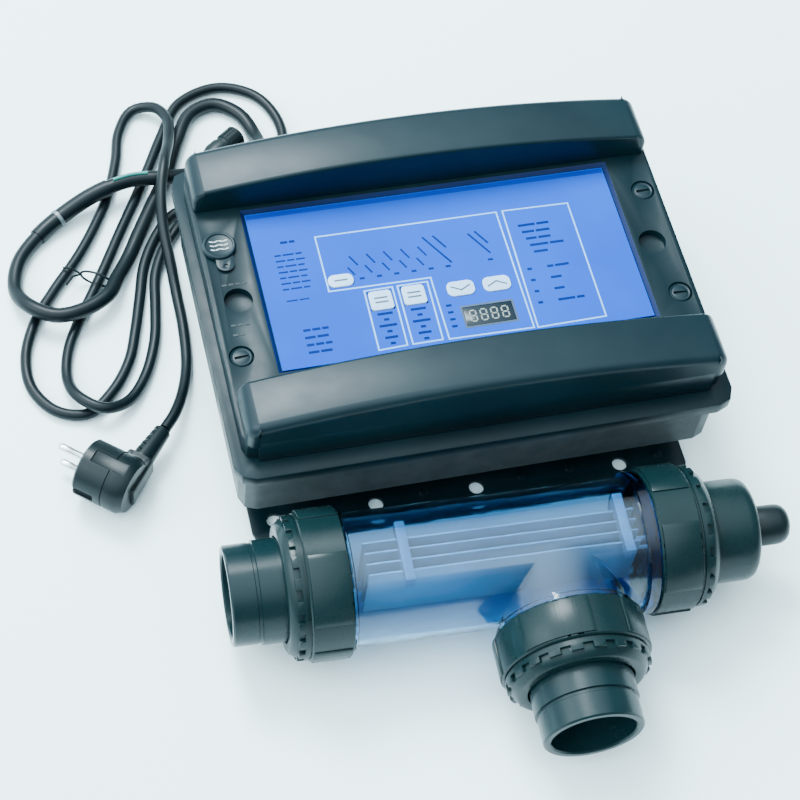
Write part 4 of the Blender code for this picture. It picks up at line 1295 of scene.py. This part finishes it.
@dataclass
class Lid(Assembly):
    """The lid with its recess, its pockets and its two bowed covers."""

    home: Home = Home.BOX
    body: str = "lid_body"
    half: tuple[float, float] = (0.1495, 0.1025)
    top: float = 0.1010
    bar_out: float = 0.1050
    bar_in: float = 0.0695
    bar_end: float = 0.1480
    bar_top: float = 0.1300
    bow: float = 0.0120

    def build(self) -> None:
        """Makes the lid and its covers."""
        lid = Bench.traced("lid", "lid_shell", 0.0006)
        self.show(lid, BOX_BLACK, "black_plastic", replaces=["lid"], home=Home.WORLD)
        self.wash_recess(lid)
        self.dress("control_board", BOARD)
        self.dress("display_module", PART_GREY)
        for name, side, body in (("near_bar", -1, "near_cover"), ("far_bar", 1, "far_cover")):
            self.show(self.bar(f"{name}_bowed", side), BAR_BLACK, "black_plastic", body, [name], 40)
        self.screws()
        self.medallion()
        self.marks()

    def wash_recess(self, lid: bpy.types.Object) -> None:
        """Gives the recess's slanted walls their navy finish."""
        lid.data.materials.append(RECESS_NAVY.material())
        for face in lid.data.polygons:
            middle = face.center - BOX_PLACE
            slanted = 0.15 < face.normal.z < 0.93
            if slanted and abs(
                middle.x - 0.0008
            ) < 0.1215 and abs(middle.y - 0.0053) < 0.0630 and middle.z > 0.0975:
                if abs(middle.x - 0.0008) > 0.1165 or abs(middle.y - 0.0053) > 0.0580:
                    face.material_index = 1

    def upper_edge(self, edge: object, y: float) -> bool:
        """Whether a bar's edge runs along its top or up its end, on the side at y."""
        on_side = all(abs(v.co.y - y) < 1e-4 for v in edge.verts)
        along_top = all(v.co.z > self.top + 0.002 for v in edge.verts)
        up_end = all(abs(abs(v.co.x) - self.bar_end) < 1e-4 for v in edge.verts)
        return on_side and (along_top or up_end)

    def bar(self, name: str, side: int) -> bpy.types.Object:
        """A long bowed cover.

        Args:
            name: its name.
            side: 1 for the far one and -1 for the near one.

        Returns:
            The cover.
        """
        low, high = sorted((side * self.bar_in, side * self.bar_out))
        end_top = self.bar_top - self.bow
        bar = Bench.block(name, (-self.bar_end, low, self.top + 0.0003), (self.bar_end, high, end_top))
        Bench.pick(bar, "EDGE", lambda e: abs(e.verts[0].co.x - e.verts[1].co.x) > 0.1)
        bpy.ops.mesh.subdivide(number_cuts=39)
        for step in range(41):
            x = self.bar_end * (1 - step / 20)
            rise = self.bow * (1 - (x / self.bar_end) ** 2)
            Bench.pick(bar, "VERT", lambda v: abs(v.co.x - x) < 0.001 and v.co.z > end_top - 0.001)
            bpy.ops.transform.translate(value=(0, 0, rise))
        Bench.pick(
            bar, "EDGE",
            lambda e: all(
                abs(abs(v.co.x) - self.bar_end) < 1e-4 for v in e.verts
            ) and all(v.co.z > end_top - 0.001 for v in e.verts),
        )
        bpy.ops.mesh.bevel(offset=0.0080, segments=6, affect="EDGES")
        outer = side * self.bar_out
        Bench.pick(bar, "EDGE", lambda e: self.upper_edge(e, outer))
        bpy.ops.mesh.bevel(offset=0.0056, segments=5, affect="EDGES")
        inner = side * self.bar_in
        Bench.pick(bar, "EDGE", lambda e: self.upper_edge(e, inner))
        bpy.ops.mesh.bevel(offset=0.0022, segments=3, affect="EDGES")
        skirt_low, skirt_high = sorted((side * (self.bar_out - 0.0020), side * self.bar_out))
        skirt = Bench.block("skirt", (-0.1408, skirt_low, 0.0856), (0.1408, skirt_high, self.top + 0.004))
        Bench.fuse(bar, Bench.ease(skirt, 0.0004))
        low, high = sorted((side * (self.bar_in + 0.0022), side * (self.bar_out - 0.0022)))
        return Bench.cut(bar, Bench.block("room", (-0.1385, low, 0.0950), (0.1385, high, 0.1145)))

    def screws(self) -> None:
        """Four slotted quarter-turn screws."""
        for number, (x, y) in enumerate(
            ((-0.1390, -0.0405), (0.1390, -0.0405), (0.1390, 0.0405), (-0.1390, 0.0405)), 1
        ):
            head = Bench.turned(
                f"quarter_turn_{number}",
                (
                    (0.0, -0.0006), (0.0046, -0.0006), (0.0052, -0.0009), (0.0055, -0.0009),
                    (0.0062, -0.0004), (0.0068, -0.0008),
                    (0.0070, -0.0014), (0.0070, -0.0041), (0.0030, -0.0041), (0.0030, -0.0126),
                    (0.0, -0.0126),
                ),
                56,
            )
            slot = Bench.ease(
                Bench.block("slot", (-0.0044, -0.0009, -0.0022), (0.0044, 0.0009, 0.0100)), 0.0002
            )
            Bench.cut(head, slot)
            Bench.lay(
                head, Matrix.Rotation(math.radians((4, -3, 2, 0)[number - 1]), 4, "Z"),
                Matrix.Translation((x, y, self.top)),
            )
            self.show(head, BAR_BLACK, "black_plastic", f"screw_{number}", [f"lid_screw_{number}"])

    def medallion(self) -> None:
        """The round cap with a raised ring and three plain waves."""
        place = Vector((-0.1372, 0.0405, self.top))
        cap = Bench.turned(
            "round_cap",
            (
                (0.0, 0.0026), (0.0082, 0.0026), (0.0084, 0.0034), (0.0092, 0.0036), (0.0099, 0.0033),
                (0.0104, 0.0024),
                (0.0104, 0.0003), (0.0, 0.0003),
            ),
            72,
        )
        neck = Bench.block("neck", (-0.0041, -0.0135, 0.0003), (0.0071, 0.0, 0.0018))
        lobe = Bench.rod("lobe", 0.0056, 0.0003, 0.0020, 48, (0.0015, -0.0135))
        Bench.fuse(cap, neck, lobe)
        Bench.cut(cap, Bench.rod("dot", 0.0016, 0.0012, 0.0040, 28, (0.0015, -0.0155)))
        Bench.lay(Bench.ease(cap, 0.0003), Matrix.Translation(place))
        self.show(cap, BAR_BLACK, "black_plastic", "medallion", ["medallion_cap"])
        waves = []
        for row in range(3):
            for part in range(4):
                dash = Bench.block(
                    "dash", (-0.0058 + part * 0.0029, -0.0004, 0.0024),
                    (-0.0032 + part * 0.0029, 0.0004, 0.0029),
                )
                lean = math.radians(18 if part % 2 else -18)
                centre = Matrix.Translation((-0.0045 + part * 0.0029, 0.0, 0.0))
                Bench.lay(
                    dash, centre @ Matrix.Rotation(lean, 4, "Z") @ centre.inverted(),
                    Matrix.Translation((0, (row - 1) * 0.0031, 0)),
                )
                waves.append(dash)
        emblem = Bench.joined("cap_waves", waves)
        Bench.lay(emblem, Matrix.Translation(place))
        self.show(emblem, MARK_SILVER, "steel", "medallion")

    def marks(self) -> None:
        """Faint raised dashes by the pockets at the lid's left end."""
        rows = []
        for y, parts in ((0.0120, 4), (-0.0180, 3), (-0.0250, 2)):
            for part in range(parts):
                low = -0.1410 + part * 0.0042
                rows.append(
                    Bench.block(
                        "dash", (low, y - 0.0007, self.top - 0.0002),
                        (low + 0.0030, y + 0.0007, self.top + 0.00025),
                    )
                )
        self.show(Bench.joined("lid_dashes", rows), BAR_BLACK, "black_plastic")


class KeyKind(Enum):
    """What a key carries."""

    BAR = "a short grey bar"
    TWO_BARS = "two short grey bars"
    UP = "a chevron that points away"
    DOWN = "a chevron that points near"


@dataclass(frozen=True)
class Key:
    """One key on the panel."""

    node: str
    body: str
    place: tuple[float, float]
    half: tuple[float, float]
    corner: float
    kind: KeyKind


@dataclass
class Panel(Assembly):
    """The printed blue panel: frames, marks, keys and the display."""

    home: Home = Home.BOX
    body: str = "lid_body"
    middle: tuple[float, float] = (0.0008, 0.0053)
    half: tuple[float, float] = (0.1176, 0.0589)
    top: float = 0.0989
    display: tuple[float, float] = (0.0169, -0.0346)
    keys: tuple[Key, ...] = (
        Key("mode_button", "mode_key", (-0.0680, 0.0049), (0.0080, 0.0046), 0.0040, KeyKind.BAR),
        Key(
            "menu_button_left", "menu_left_key", (-0.0467, -0.0137), (0.0072, 0.0070), 0.0022,
            KeyKind.TWO_BARS,
        ),
        Key(
            "menu_button_right", "menu_right_key", (-0.0257, -0.0132), (0.0072, 0.0070), 0.0022,
            KeyKind.TWO_BARS,
        ),
        Key("down_button", "down_key", (0.0040, -0.0133), (0.0088, 0.0054), 0.0040, KeyKind.DOWN),
        Key("up_button", "up_key", (0.0271, -0.0135), (0.0088, 0.0054), 0.0040, KeyKind.UP),
    )

    def build(self) -> None:
        """Makes the panel and all that is on it."""
        self.film()
        self.frames()
        self.print_marks()
        for key in self.keys:
            self.key(key)
        self.window()

    def film(self) -> None:
        """The blue film, with a darker band of painted shade along its far edge."""
        (x, y), (hx, hy) = self.middle, self.half
        film = Bench.traced("panel_label", "panel_film", 0.0)
        self.show(film, PANEL_BLUE, "panel_blue", replaces=["panel_label"], home=Home.WORLD, smooth=20)
        # The darker band is painted shade along the film's far edge.
        low = (x - hx + 0.0006, y + hy - 0.0040, self.top - 0.0002)
        high = (x + hx - 0.0006, y + hy - 0.0006, self.top + 0.00006)
        self.show(Bench.block("panel_band", low, high), PANEL_PAINTED_SHADE, "panel_blue")

    def outline(
        self, name: str, corners: Sequence[tuple[float, float]], width: float = 0.0010
    ) -> bpy.types.Object:
        """A printed line round a shape, from corners in millimetres.

        Args:
            name: its name.
            corners: the shape's corners, in order.
            width: the line's width.

        Returns:
            The line, as one thin solid.
        """
        points = [Vector((x / 1000, y / 1000, self.top - 0.0002)) for x, y in corners]
        Bench.clear()
        bpy.ops.mesh.primitive_plane_add(size=0.001, location=points[0])
        obj = Bench.named(name)
        bpy.ops.object.mode_set(mode="EDIT")
        bpy.ops.mesh.select_mode(type="VERT")
        bpy.ops.mesh.select_all(action="SELECT")
        bpy.ops.mesh.merge(type="CENTER")
        for first, second in zip(points, points[1:]):
            Bench.grow(tuple(second - first))
        Bench.pick(
            obj, "VERT", lambda v: (v.co - points[0]).length < 1e-5 or (v.co - points[-1]).length < 1e-5
        )
        bpy.ops.mesh.edge_face_add()
        bpy.ops.mesh.select_all(action="SELECT")
        bpy.ops.mesh.edge_face_add()
        bpy.ops.mesh.inset(thickness=width, depth=0.0, use_boundary=True)
        bpy.ops.mesh.delete(type="FACE")
        bpy.ops.mesh.select_all(action="SELECT")
        Bench.grow((0, 0, 0.00028))
        bpy.ops.mesh.select_all(action="SELECT")
        bpy.ops.mesh.normals_make_consistent(inside=False)
        bpy.ops.object.mode_set(mode="OBJECT")
        return obj

    def frames(self) -> None:
        """The pale frames round the groups of keys and lamps."""
        shapes = (
            ((-77.2, 40.8), (-77.4, -2.3), (-13.0, -2.6), (-12.6, -49.2), (42.1, -49.9), (41.4, 40.9)),
            ((44.6, 41.2), (88.8, 40.4), (88.7, -49.4), (43.5, -50.2)),
            ((-56.0, -4.6), (-56.8, -49.8), (-37.9, -49.0), (-37.2, -4.4)),
            ((-35.0, -4.3), (-35.4, -49.0), (-15.6, -48.8), (-14.8, -4.2)),
        )
        parts = [self.outline("frame", shape) for shape in shapes]
        self.show(Bench.joined("panel_frames", parts), PRINT_PALE, "panel_blue", smooth=20)

    def bars(
        self, name: str, rows: Iterable[tuple[float, float, float, float]], finish: Finish,
        lean: float = 0.0,
    ) -> None:
        """Printed dashes, each from its middle, length and width in millimetres.

        Args:
            name: the piece's name.
            rows: x, y, length and width of each.
            finish: its ink.
            lean: the angle in degrees that they are turned to.
        """
        parts = []
        for x, y, long, wide in rows:
            dash = Bench.block(
                name, (-long / 2000, -wide / 2000, self.top - 0.0002),
                (long / 2000, wide / 2000, self.top + 0.00009),
            )
            place = Matrix.Translation((x / 1000, y / 1000, 0)) @ Matrix.Rotation(
                math.radians(lean), 4, "Z"
            )
            parts.append(Bench.lay(dash, place))
        self.show(Bench.joined(name, parts), finish, "panel_blue", smooth=20)

    def words(
        self, x: float, y: float, lengths: Sequence[float], wide: float = 1.3
    ) -> list[tuple[float, float, float, float]]:
        """A row of short dashes that ends at x, as a line of small print.

        Args:
            x: the row's left end in millimetres.
            y: its height on the panel.
            lengths: the dashes' lengths.
            wide: their width.

        Returns:
            The dashes.
        """
        rows = []
        for long in lengths:
            rows.append((x + long / 2, y, long, wide))
            x += long + 1.1
        return rows

    def print_marks(self) -> None:
        """Rows of dashes and dots in place of the small print."""
        slanted = []
        for step in range(5):
            slanted += [(-60.0 + step * 11.0, 11.0, 7.0, 1.1), (-57.0 + step * 11.0, 18.6, 8.5, 1.1)]
        self.bars("lamp_lines", [(x, y, a, b) for x, y, a, b in slanted], PRINT_NAVY, -62)
        self.bars(
            "lamp_lines_long",
            [
                (-3.5, 18.0, 26.0, 1.2), (-0.5, 24.0, 12.0, 1.2), (24.0, 18.5, 20.0, 1.2),
                (26.5, 23.0, 12.0, 1.2),
            ],
            PRINT_NAVY, -58,
        )
        self.bars(
            "lamp_dots",
            [(-54.5 + step * 11.0, 4.6, 3.2, 1.5) for step in range(6)] + [(28.0, 5.2, 3.2, 1.5)],
            PRINT_NAVY,
        )
        small: list[tuple[float, float, float, float]] = []
        for number in range(7):
            y = 30.0 - number * 4.3
            small += self.words(-104.5, y, (6.0, 4.5, 5.5) if number % 2 else (4.0, 7.0, 4.0), 1.1)
        small += self.words(-104.0, -4.6, (7.0, 6.0), 0.9) + self.words(-99.0, 39.5, (4.5, 3.5), 1.7)
        for number in range(4):
            small += self.words(
                -98.5, -27.5 - number * 5.4, (6.5, 7.0) if number % 2 else (4.5, 5.0, 4.0), 1.7
            )
        self.bars("small_print", small, PRINT_NAVY)
        status: list[tuple[float, float, float, float]] = []
        for number, lengths in enumerate(((11.0, 8.0), (8.0, 9.0), (7.0, 8.0), (12.0, 9.0), (9.0,))):
            status += self.words(52.0 + number * 1.2, 27.5 - number * 5.3, lengths, 1.7)
        for number, lengths in enumerate(((4.0, 9.0), (7.0,), (6.5,), (11.0, 5.0))):
            status += self.words(62.0, -6.0 - number * 8.6, lengths, 1.7)
            status.append((50.5, -6.2 - number * 8.6, 3.0, 1.7))
        self.bars("status_print", status, PRINT_NAVY)
        lower: list[tuple[float, float, float, float]] = []
        for x in (-46.6, -25.6):
            for number in range(6):
                long = (9.5, 3.2, 11.0, 3.2, 8.0, 3.2)[number]
                lower.append((x, -23.6 - number * 4.4, long, 1.7))
        lower += [(-6.5, -24.5 - number * 5.2, 3.4, 1.6) for number in range(4)]
        self.bars("mode_print", lower, PRINT_NAVY)

    def key(self, key: Key) -> None:
        """One soft key that stands a little proud, with its mark.

        Args:
            key: which key it is.
        """
        (x, y), (hx, hy) = key.place, key.half
        cap = Bench.block(f"{key.node}_cap", (x - hx, y - hy, 0.0960), (x + hx, y + hy, self.top + 0.0007))
        Bench.pick(cap, "EDGE", lambda e: abs(e.verts[0].co.z - e.verts[1].co.z) > 0.001)
        bpy.ops.mesh.bevel(offset=key.corner, segments=8, affect="EDGES")
        Bench.pick(cap, "FACE", lambda f: f.normal.z > 0.9)
        bpy.ops.mesh.inset(thickness=0.0007, depth=0.0)
        bpy.ops.transform.translate(value=(0, 0, 0.00012))
        Bench.ease(cap, 0.0002)
        self.show(cap, KEY_WHITE, "button_white", key.body, [key.node])
        top = self.top + 0.0007
        marks = []
        if key.kind in (KeyKind.UP, KeyKind.DOWN):
            lean = 28 if key.kind is KeyKind.UP else -28
            for side in (-1, 1):
                leg = Bench.block("leg", (-0.0036, -0.0005, top - 0.0003), (0.0036, 0.0005, top + 0.0002))
                place = Matrix.Translation((x + side * 0.0030, y, 0)) @ Matrix.Rotation(
                    math.radians(-side * lean), 4, "Z"
                )
                marks.append(Bench.lay(leg, place))
        else:
            rows = (0.0,) if key.kind is KeyKind.BAR else (-0.0016, 0.0016)
            for row in rows:
                marks.append(
                    Bench.block(
                        "mark", (x - 0.0042, y + row - 0.0006, top - 0.0003),
                        (x + 0.0042, y + row + 0.0006, top + 0.0002),
                    )
                )
        self.show(Bench.joined(f"{key.node}_mark", marks), KEY_GREY, "terminal_grey", key.body)

    def window(self) -> None:
        """The dark display with four pale seven-segment figures under its window."""
        (x, y) = self.display
        glass = Bench.block(
            "display_glass", (x - 0.0155, y - 0.0069, 0.0977), (x + 0.0155, y + 0.0069, self.top)
        )
        self.show(Bench.ease(glass, 0.0003), WINDOW_DARK, "dark_window", replaces=["display_window"])
        bezel = self.outline(
            "display_bezel",
            [
                (1000 * (x + a * 0.0170), 1000 * (y + b * 0.0084))
                for a, b in ((-1, -1), (1, -1), (1, 1), (-1, 1))
            ],
            0.0013,
        )
        self.show(bezel, KEY_GREY, "terminal_grey", smooth=20)
        segments = []
        for figure in range(4):
            cx = x - 0.0102 + figure * 0.0068
            for dx, dy, upright in (
                (0, 0.0040, 0), (0, 0, 0), (0, -0.0040, 0), (-0.0019, 0.0020, 1), (0.0019, 0.0020, 1),
                (-0.0019, -0.0020, 1), (0.0019, -0.0020, 1),
            ):
                wide, tall = (0.00042, 0.0015) if upright else (0.0014, 0.00042)
                low = (cx + dx - wide, y + dy - tall, self.top - 0.0002)
                segments.append(
                    Bench.block("segment", low, (cx + dx + wide, y + dy + tall, self.top + 0.00008))
                )
        self.show(Bench.joined("display_figures", segments), DIGIT_PALE, "button_white", smooth=20)


# ---------------------------------------------------------------- cell
@dataclass
class Nut(Assembly):
    """A union nut: shallow pads round its barrel, two opposite lugs and a notched rear ring."""

    home: Home = Home.CELL
    name: str = "nut"
    place: Point = (0, 0, 0)
    facing: Facing = Facing.LEFT
    start: float = 0.0
    rim: float = 0.0449
    pads: tuple[tuple[float, float], ...] = ((9.5, 37.5), (39.5, 93.0), (95.0, 122.0), (124.0, 170.5))
    teeth: int = 20

    def build(self) -> None:
        """Makes the nut."""
        long = 0.0374
        nut = Bench.turned(
            f"{self.name}_ribbed",
            (
                (self.rim - 0.0014, 0.0), (self.rim - 0.0004, 0.0009), (self.rim - 0.0004, 0.0246),
                (self.rim - 0.0012, 0.0254), (0.0424, 0.0256), (0.0424, 0.0268),
                (0.0432, 0.0270), (0.0432, 0.0292), (0.0412, 0.0294), (0.0412, 0.0326), (0.0404, 0.0340),
                (0.0384, 0.0368), (0.0372, long),
                (0.0322, long), (0.0322, 0.0166), (0.0409, 0.0166), (0.0409, 0.0),
            ),
            144,
        )
        parts = []
        for half in (0.0, 180.0):
            for first, last in self.pads:
                parts.append(
                    self.arc(
                        "pad", (0.0420, 0.0014), (self.rim + 0.0006, 0.0240), half + first, half + last,
                        0.0006,
                    )
                )
        pitch = 360.0 / self.teeth
        for tooth in range(self.teeth):
            parts.append(
                self.arc(
                    "tooth", (0.0400, 0.0280), (0.0432, 0.0328), tooth * pitch,
                    tooth * pitch + pitch * 0.55, 0.0003,
                )
            )
        lugs = [Bench.lay(self.lug_shape(), Matrix.Rotation(half, 4, "Z")) for half in (0.0, math.pi)]
        Bench.fuse(nut, Bench.joined("pads_and_teeth", parts), *lugs, solver="MANIFOLD")
        Bench.lay(
            nut, Matrix.Rotation(self.start, 4, "Z"), Matrix.Translation(self.place) @ self.facing.value
        )
        self.show(
            nut, UNION_BLACK, "union_black", f"{self.name.removesuffix('_union_nut')}_nut", [self.name], 30
        )

    def arc(
        self, name: str, low: tuple[float, float], high: tuple[float, float], first: float, last: float,
        ease: float,
    ) -> bpy.types.Object:
        """A block that is bent round the axis.

        Args:
            name: its name.
            low: its least radius and height.
            high: its greatest radius and height.
            first: the angle in degrees that it starts at.
            last: the angle that it ends at.
            ease: how wide its edges are eased.

        Returns:
            The block.
        """
        Bench.clear()
        bpy.ops.mesh.primitive_plane_add(size=1.0, location=(0, 0, 0))
        obj = Bench.named(name)
        (r0, z0), (r1, z1) = low, high
        Bench.lay(
            obj,
            Matrix.Diagonal((r1 - r0, z1 - z0, 1, 1)),
            Matrix.Rotation(math.pi / 2, 4, "X"),
            Matrix.Translation(((r0 + r1) / 2, 0, (z0 + z1) / 2)),
            Matrix.Rotation(math.radians(first), 4, "Z"),
        )
        bpy.ops.object.mode_set(mode="EDIT")
        bpy.ops.mesh.select_all(action="SELECT")
        sweep = math.radians(last - first)
        bpy.ops.mesh.spin(
            steps=max(2, round((last - first) / 4)), angle=sweep, center=(0, 0, 0), axis=(0, 0, 1)
        )
        bpy.ops.mesh.select_all(action="SELECT")
        bpy.ops.mesh.normals_make_consistent(inside=False)
        bpy.ops.object.mode_set(mode="OBJECT")
        return Bench.ease(obj, ease, 2, 35)

    def lug_shape(self) -> bpy.types.Object:
        """A lug along the barrel whose rear slants down and holds two three-cornered pockets."""
        lug = Bench.block("lug", (0.0385, -0.0058, 0.0020), (0.0460, 0.0058, 0.0290))
        Bench.pick(lug, "FACE", lambda f: f.normal.z > 0.9)
        Bench.grow((0, 0, 0.0060))
        Bench.pick(lug, "VERT", lambda v: v.co.z > 0.0340 and v.co.x > 0.045)
        bpy.ops.transform.translate(value=(-0.0042, 0, 0))
        Bench.ease(lug, 0.0005)
        groove = Bench.block("groove", (0.0448, -0.0036, 0.0000), (0.0480, -0.0027, 0.0262))
        Bench.cut(lug, groove)
        for side in (-1, 1):
            pocket = Bench.rod("pocket", 0.0025, 0.0305, 0.0400, 3)
            Bench.lay(
                pocket, Matrix.Rotation(math.pi / 2 - side * math.pi / 2, 4, "Z"),
                Matrix.Translation((0.0432, side * 0.0028, 0)),
            )
            Bench.cut(lug, pocket)
        return lug


@dataclass
class Cell(Assembly):
    """The clear tee, its unions and its electrodes."""

    home: Home = Home.CELL
    tee: float = 0.0227
    left: float = -0.1032
    right: float = 0.0810
    out: float = 0.0498

    def build(self) -> None:
        """Makes the whole cell."""
        self.tube()
        branch = (self.tee, -self.out, 0)
        Nut(
            name="left_union_nut", place=(self.left, 0, 0), facing=Facing.LEFT, start=math.radians(52)
        ).build()
        Nut(
            name="right_union_nut", place=(self.right, 0, 0), facing=Facing.RIGHT, start=math.radians(128)
        ).build()
        Nut(name="branch_union_nut", place=branch, facing=Facing.NEAR, start=math.radians(16)).build()
        self.tail("left_tail", (self.left, 0, 0), Facing.LEFT)
        self.tail("branch_tail", branch, Facing.NEAR)
        self.head()
        for number in range(1, 5):
            self.plate(number)
        for node, finish in (("terminal_post_1", TITANIUM), ("terminal_post_2", TITANIUM)):
            self.dress(node, finish)
        for side in ("left", "right", "branch"):
            self.dress(f"{side}_face_seal", RUBBER)
        for side in ("left", "right"):
            comb = Bench.traced(f"plate_comb_{side}", f"comb_{side}", 0.0004)
            self.show(comb, COMB_CLEAR, "terminal_grey", replaces=[f"plate_comb_{side}"], home=Home.WORLD)

    def tube(self) -> None:
        """The clear tee with its open ends and a shoulder beside each nut."""
        left, right, out = self.left - 0.0093, self.right + 0.0093, self.out + 0.0093
        tube = Bench.lay(
            Bench.rod("clear_tee", 0.0404, left, right, 128), Matrix.Rotation(math.pi / 2, 4, "Y")
        )
        branch = Bench.lay(
            Bench.rod("branch", 0.0385, 0.002, out, 128), Facing.NEAR.value,
            Matrix.Translation((self.tee, 0, 0)),
        )
        Bench.fuse(tube, branch)
        rings = (
            ((0, 0, 0), Facing.LEFT, 0.0420, 0.1008, 0.1028),
            ((0, 0, 0), Facing.RIGHT, 0.0436, 0.0732, 0.0806),
            ((self.tee, 0, 0), Facing.NEAR, 0.0421, 0.0454, 0.0494),
        )
        for place, facing, radius, low, high in rings:
            edge = 0.0007
            ring = Bench.turned(
                "shoulder",
                (
                    (radius - edge, high), (radius, high - edge), (radius, low + edge),
                    (radius - edge, low), (radius - 0.005, low), (radius - 0.005, high),
                ),
                128,
            )
            Bench.fuse(tube, Bench.lay(ring, Matrix.Translation(place) @ facing.value))
        bore = Bench.lay(
            Bench.rod("bore", 0.0369, left - 0.01, right + 0.01, 128), Matrix.Rotation(math.pi / 2, 4, "Y")
        )
        inner = Bench.lay(
            Bench.rod("inner", 0.0350, 0.0, out + 0.01, 128), Facing.NEAR.value,
            Matrix.Translation((self.tee, 0, 0)),
        )
        Bench.fuse(bore, inner)
        Bench.cut(tube, bore)
        collar = [
            f.index
            for f in tube.data.polygons if 0.0728 < f.center.x < 0.0810 and math.hypot(
                f.center.y, f.center.z
            ) > 0.0409
        ]
        self.show(tube, CELL_CLEAR, "clear_blue", replaces=["cell_body"], smooth=40)
        tube.data.materials.append(COLLAR_CLEAR.material())
        for index in collar:
            tube.data.polygons[index].material_index = 1

    def tail(self, node: str, place: Point, facing: Facing) -> None:
        """A socket tail with a pale chamfered rim and a groove at its step.

        Args:
            node: the CAD node it stands for.
            place: its nut's inner edge.
            facing: the way it points.
        """
        end, r = 0.0690, 0.0300
        tail = Bench.turned(
            f"{node}_turned",
            (
                (r - 0.0010, end), (r, end - 0.0010), (r, end - 0.0150), (r - 0.0004, end - 0.0154),
                (r - 0.0004, end - 0.0172),
                (r + 0.0010, end - 0.0176), (r + 0.0010, 0.0163), (0.0396, 0.0163), (0.0396, 0.0124),
                (0.0245, 0.0124), (0.0245, 0.0440),
                (0.0249, 0.0444), (0.0251, end - 0.0010), (0.0260, end),
            ),
            128,
        )
        Bench.lay(tail, Matrix.Translation(place) @ facing.value)
        self.show(tail, TAIL_BLACK, "union_black", replaces=[node], smooth=24)

    def head(self) -> None:
        """The electrode head, and the rubber boot over its terminals."""
        head = Bench.turned(
            "head_cap",
            (
                (0.0, 0.0674), (0.0255, 0.0674), (0.0280, 0.0669), (0.0300, 0.0655), (0.0311, 0.0632),
                (0.0314, 0.0600), (0.0314, 0.0402), (0.0318, 0.0398),
                (0.0318, 0.0163), (0.0396, 0.0163), (0.0396, 0.0124), (0.0350, 0.0124), (0.0350, 0.0040),
                (0.0, 0.0040),
            ),
            128,
        )
        socket = Bench.rod("socket", 0.0092, 0.0600, 0.0800, 56)
        Bench.fuse(head, socket)
        Bench.cut(head, Bench.rod("room", 0.0072, 0.0700, 0.0900, 56))
        for y in (-0.0030, 0.0030):
            Bench.cut(head, Bench.rod("post_room", 0.0019, -0.0100, 0.0900, 28, (0, y)))
        Bench.lay(head, Matrix.Translation((self.right, 0, 0)) @ Facing.RIGHT.value)
        self.show(head, UNION_BLACK, "union_black", replaces=["electrode_head"], smooth=32)
        boot = Bench.turned(
            "rubber_boot",
            (
                (0.0, 0.0946), (0.0034, 0.0944), (0.0064, 0.0937), (0.0090, 0.0925), (0.0109, 0.0907),
                (0.0120, 0.0884), (0.0124, 0.0855),
                (0.0125, 0.0684), (0.0121, 0.0677), (0.0096, 0.0677), (0.0096, 0.0806), (0.0, 0.0806),
            ),
            96,
        )
        Bench.lay(boot, Matrix.Translation((self.right, 0, 0)) @ Facing.RIGHT.value)
        self.show(boot, PLUG_BLACK, "rubber", "boot", ["head_boot"], 60)

    def plate(self, number: int) -> None:
        """One electrode plate with eased edges.

        Args:
            number: from 1 at the far side.
        """
        y = (-0.0105, -0.0035, 0.0035, 0.0105)[number - 1]
        plate = Bench.block(
            f"plate_{number}", (self.right - 0.1720, y - 0.0006, -0.0240),
            (self.right - 0.0070, y + 0.0006, 0.0240),
        )
        self.show(Bench.ease(plate, 0.0002), TITANIUM, "titanium", replaces=[f"electrode_plate_{number}"])


def main() -> None:
    """Builds every assembly in order."""
    logging.basicConfig(level=logging.INFO, format="%(name)s: %(message)s")
    FRAME.load()
    Studio().build()
    Leads().build()
    Case().build()
    Lid().build()
    Panel().build()
    Cell().build()
    FRAME.write_size("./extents.json")
    LOG.info("%d new pieces", FRAME.shown)


if __name__ == "__main__":
    main()
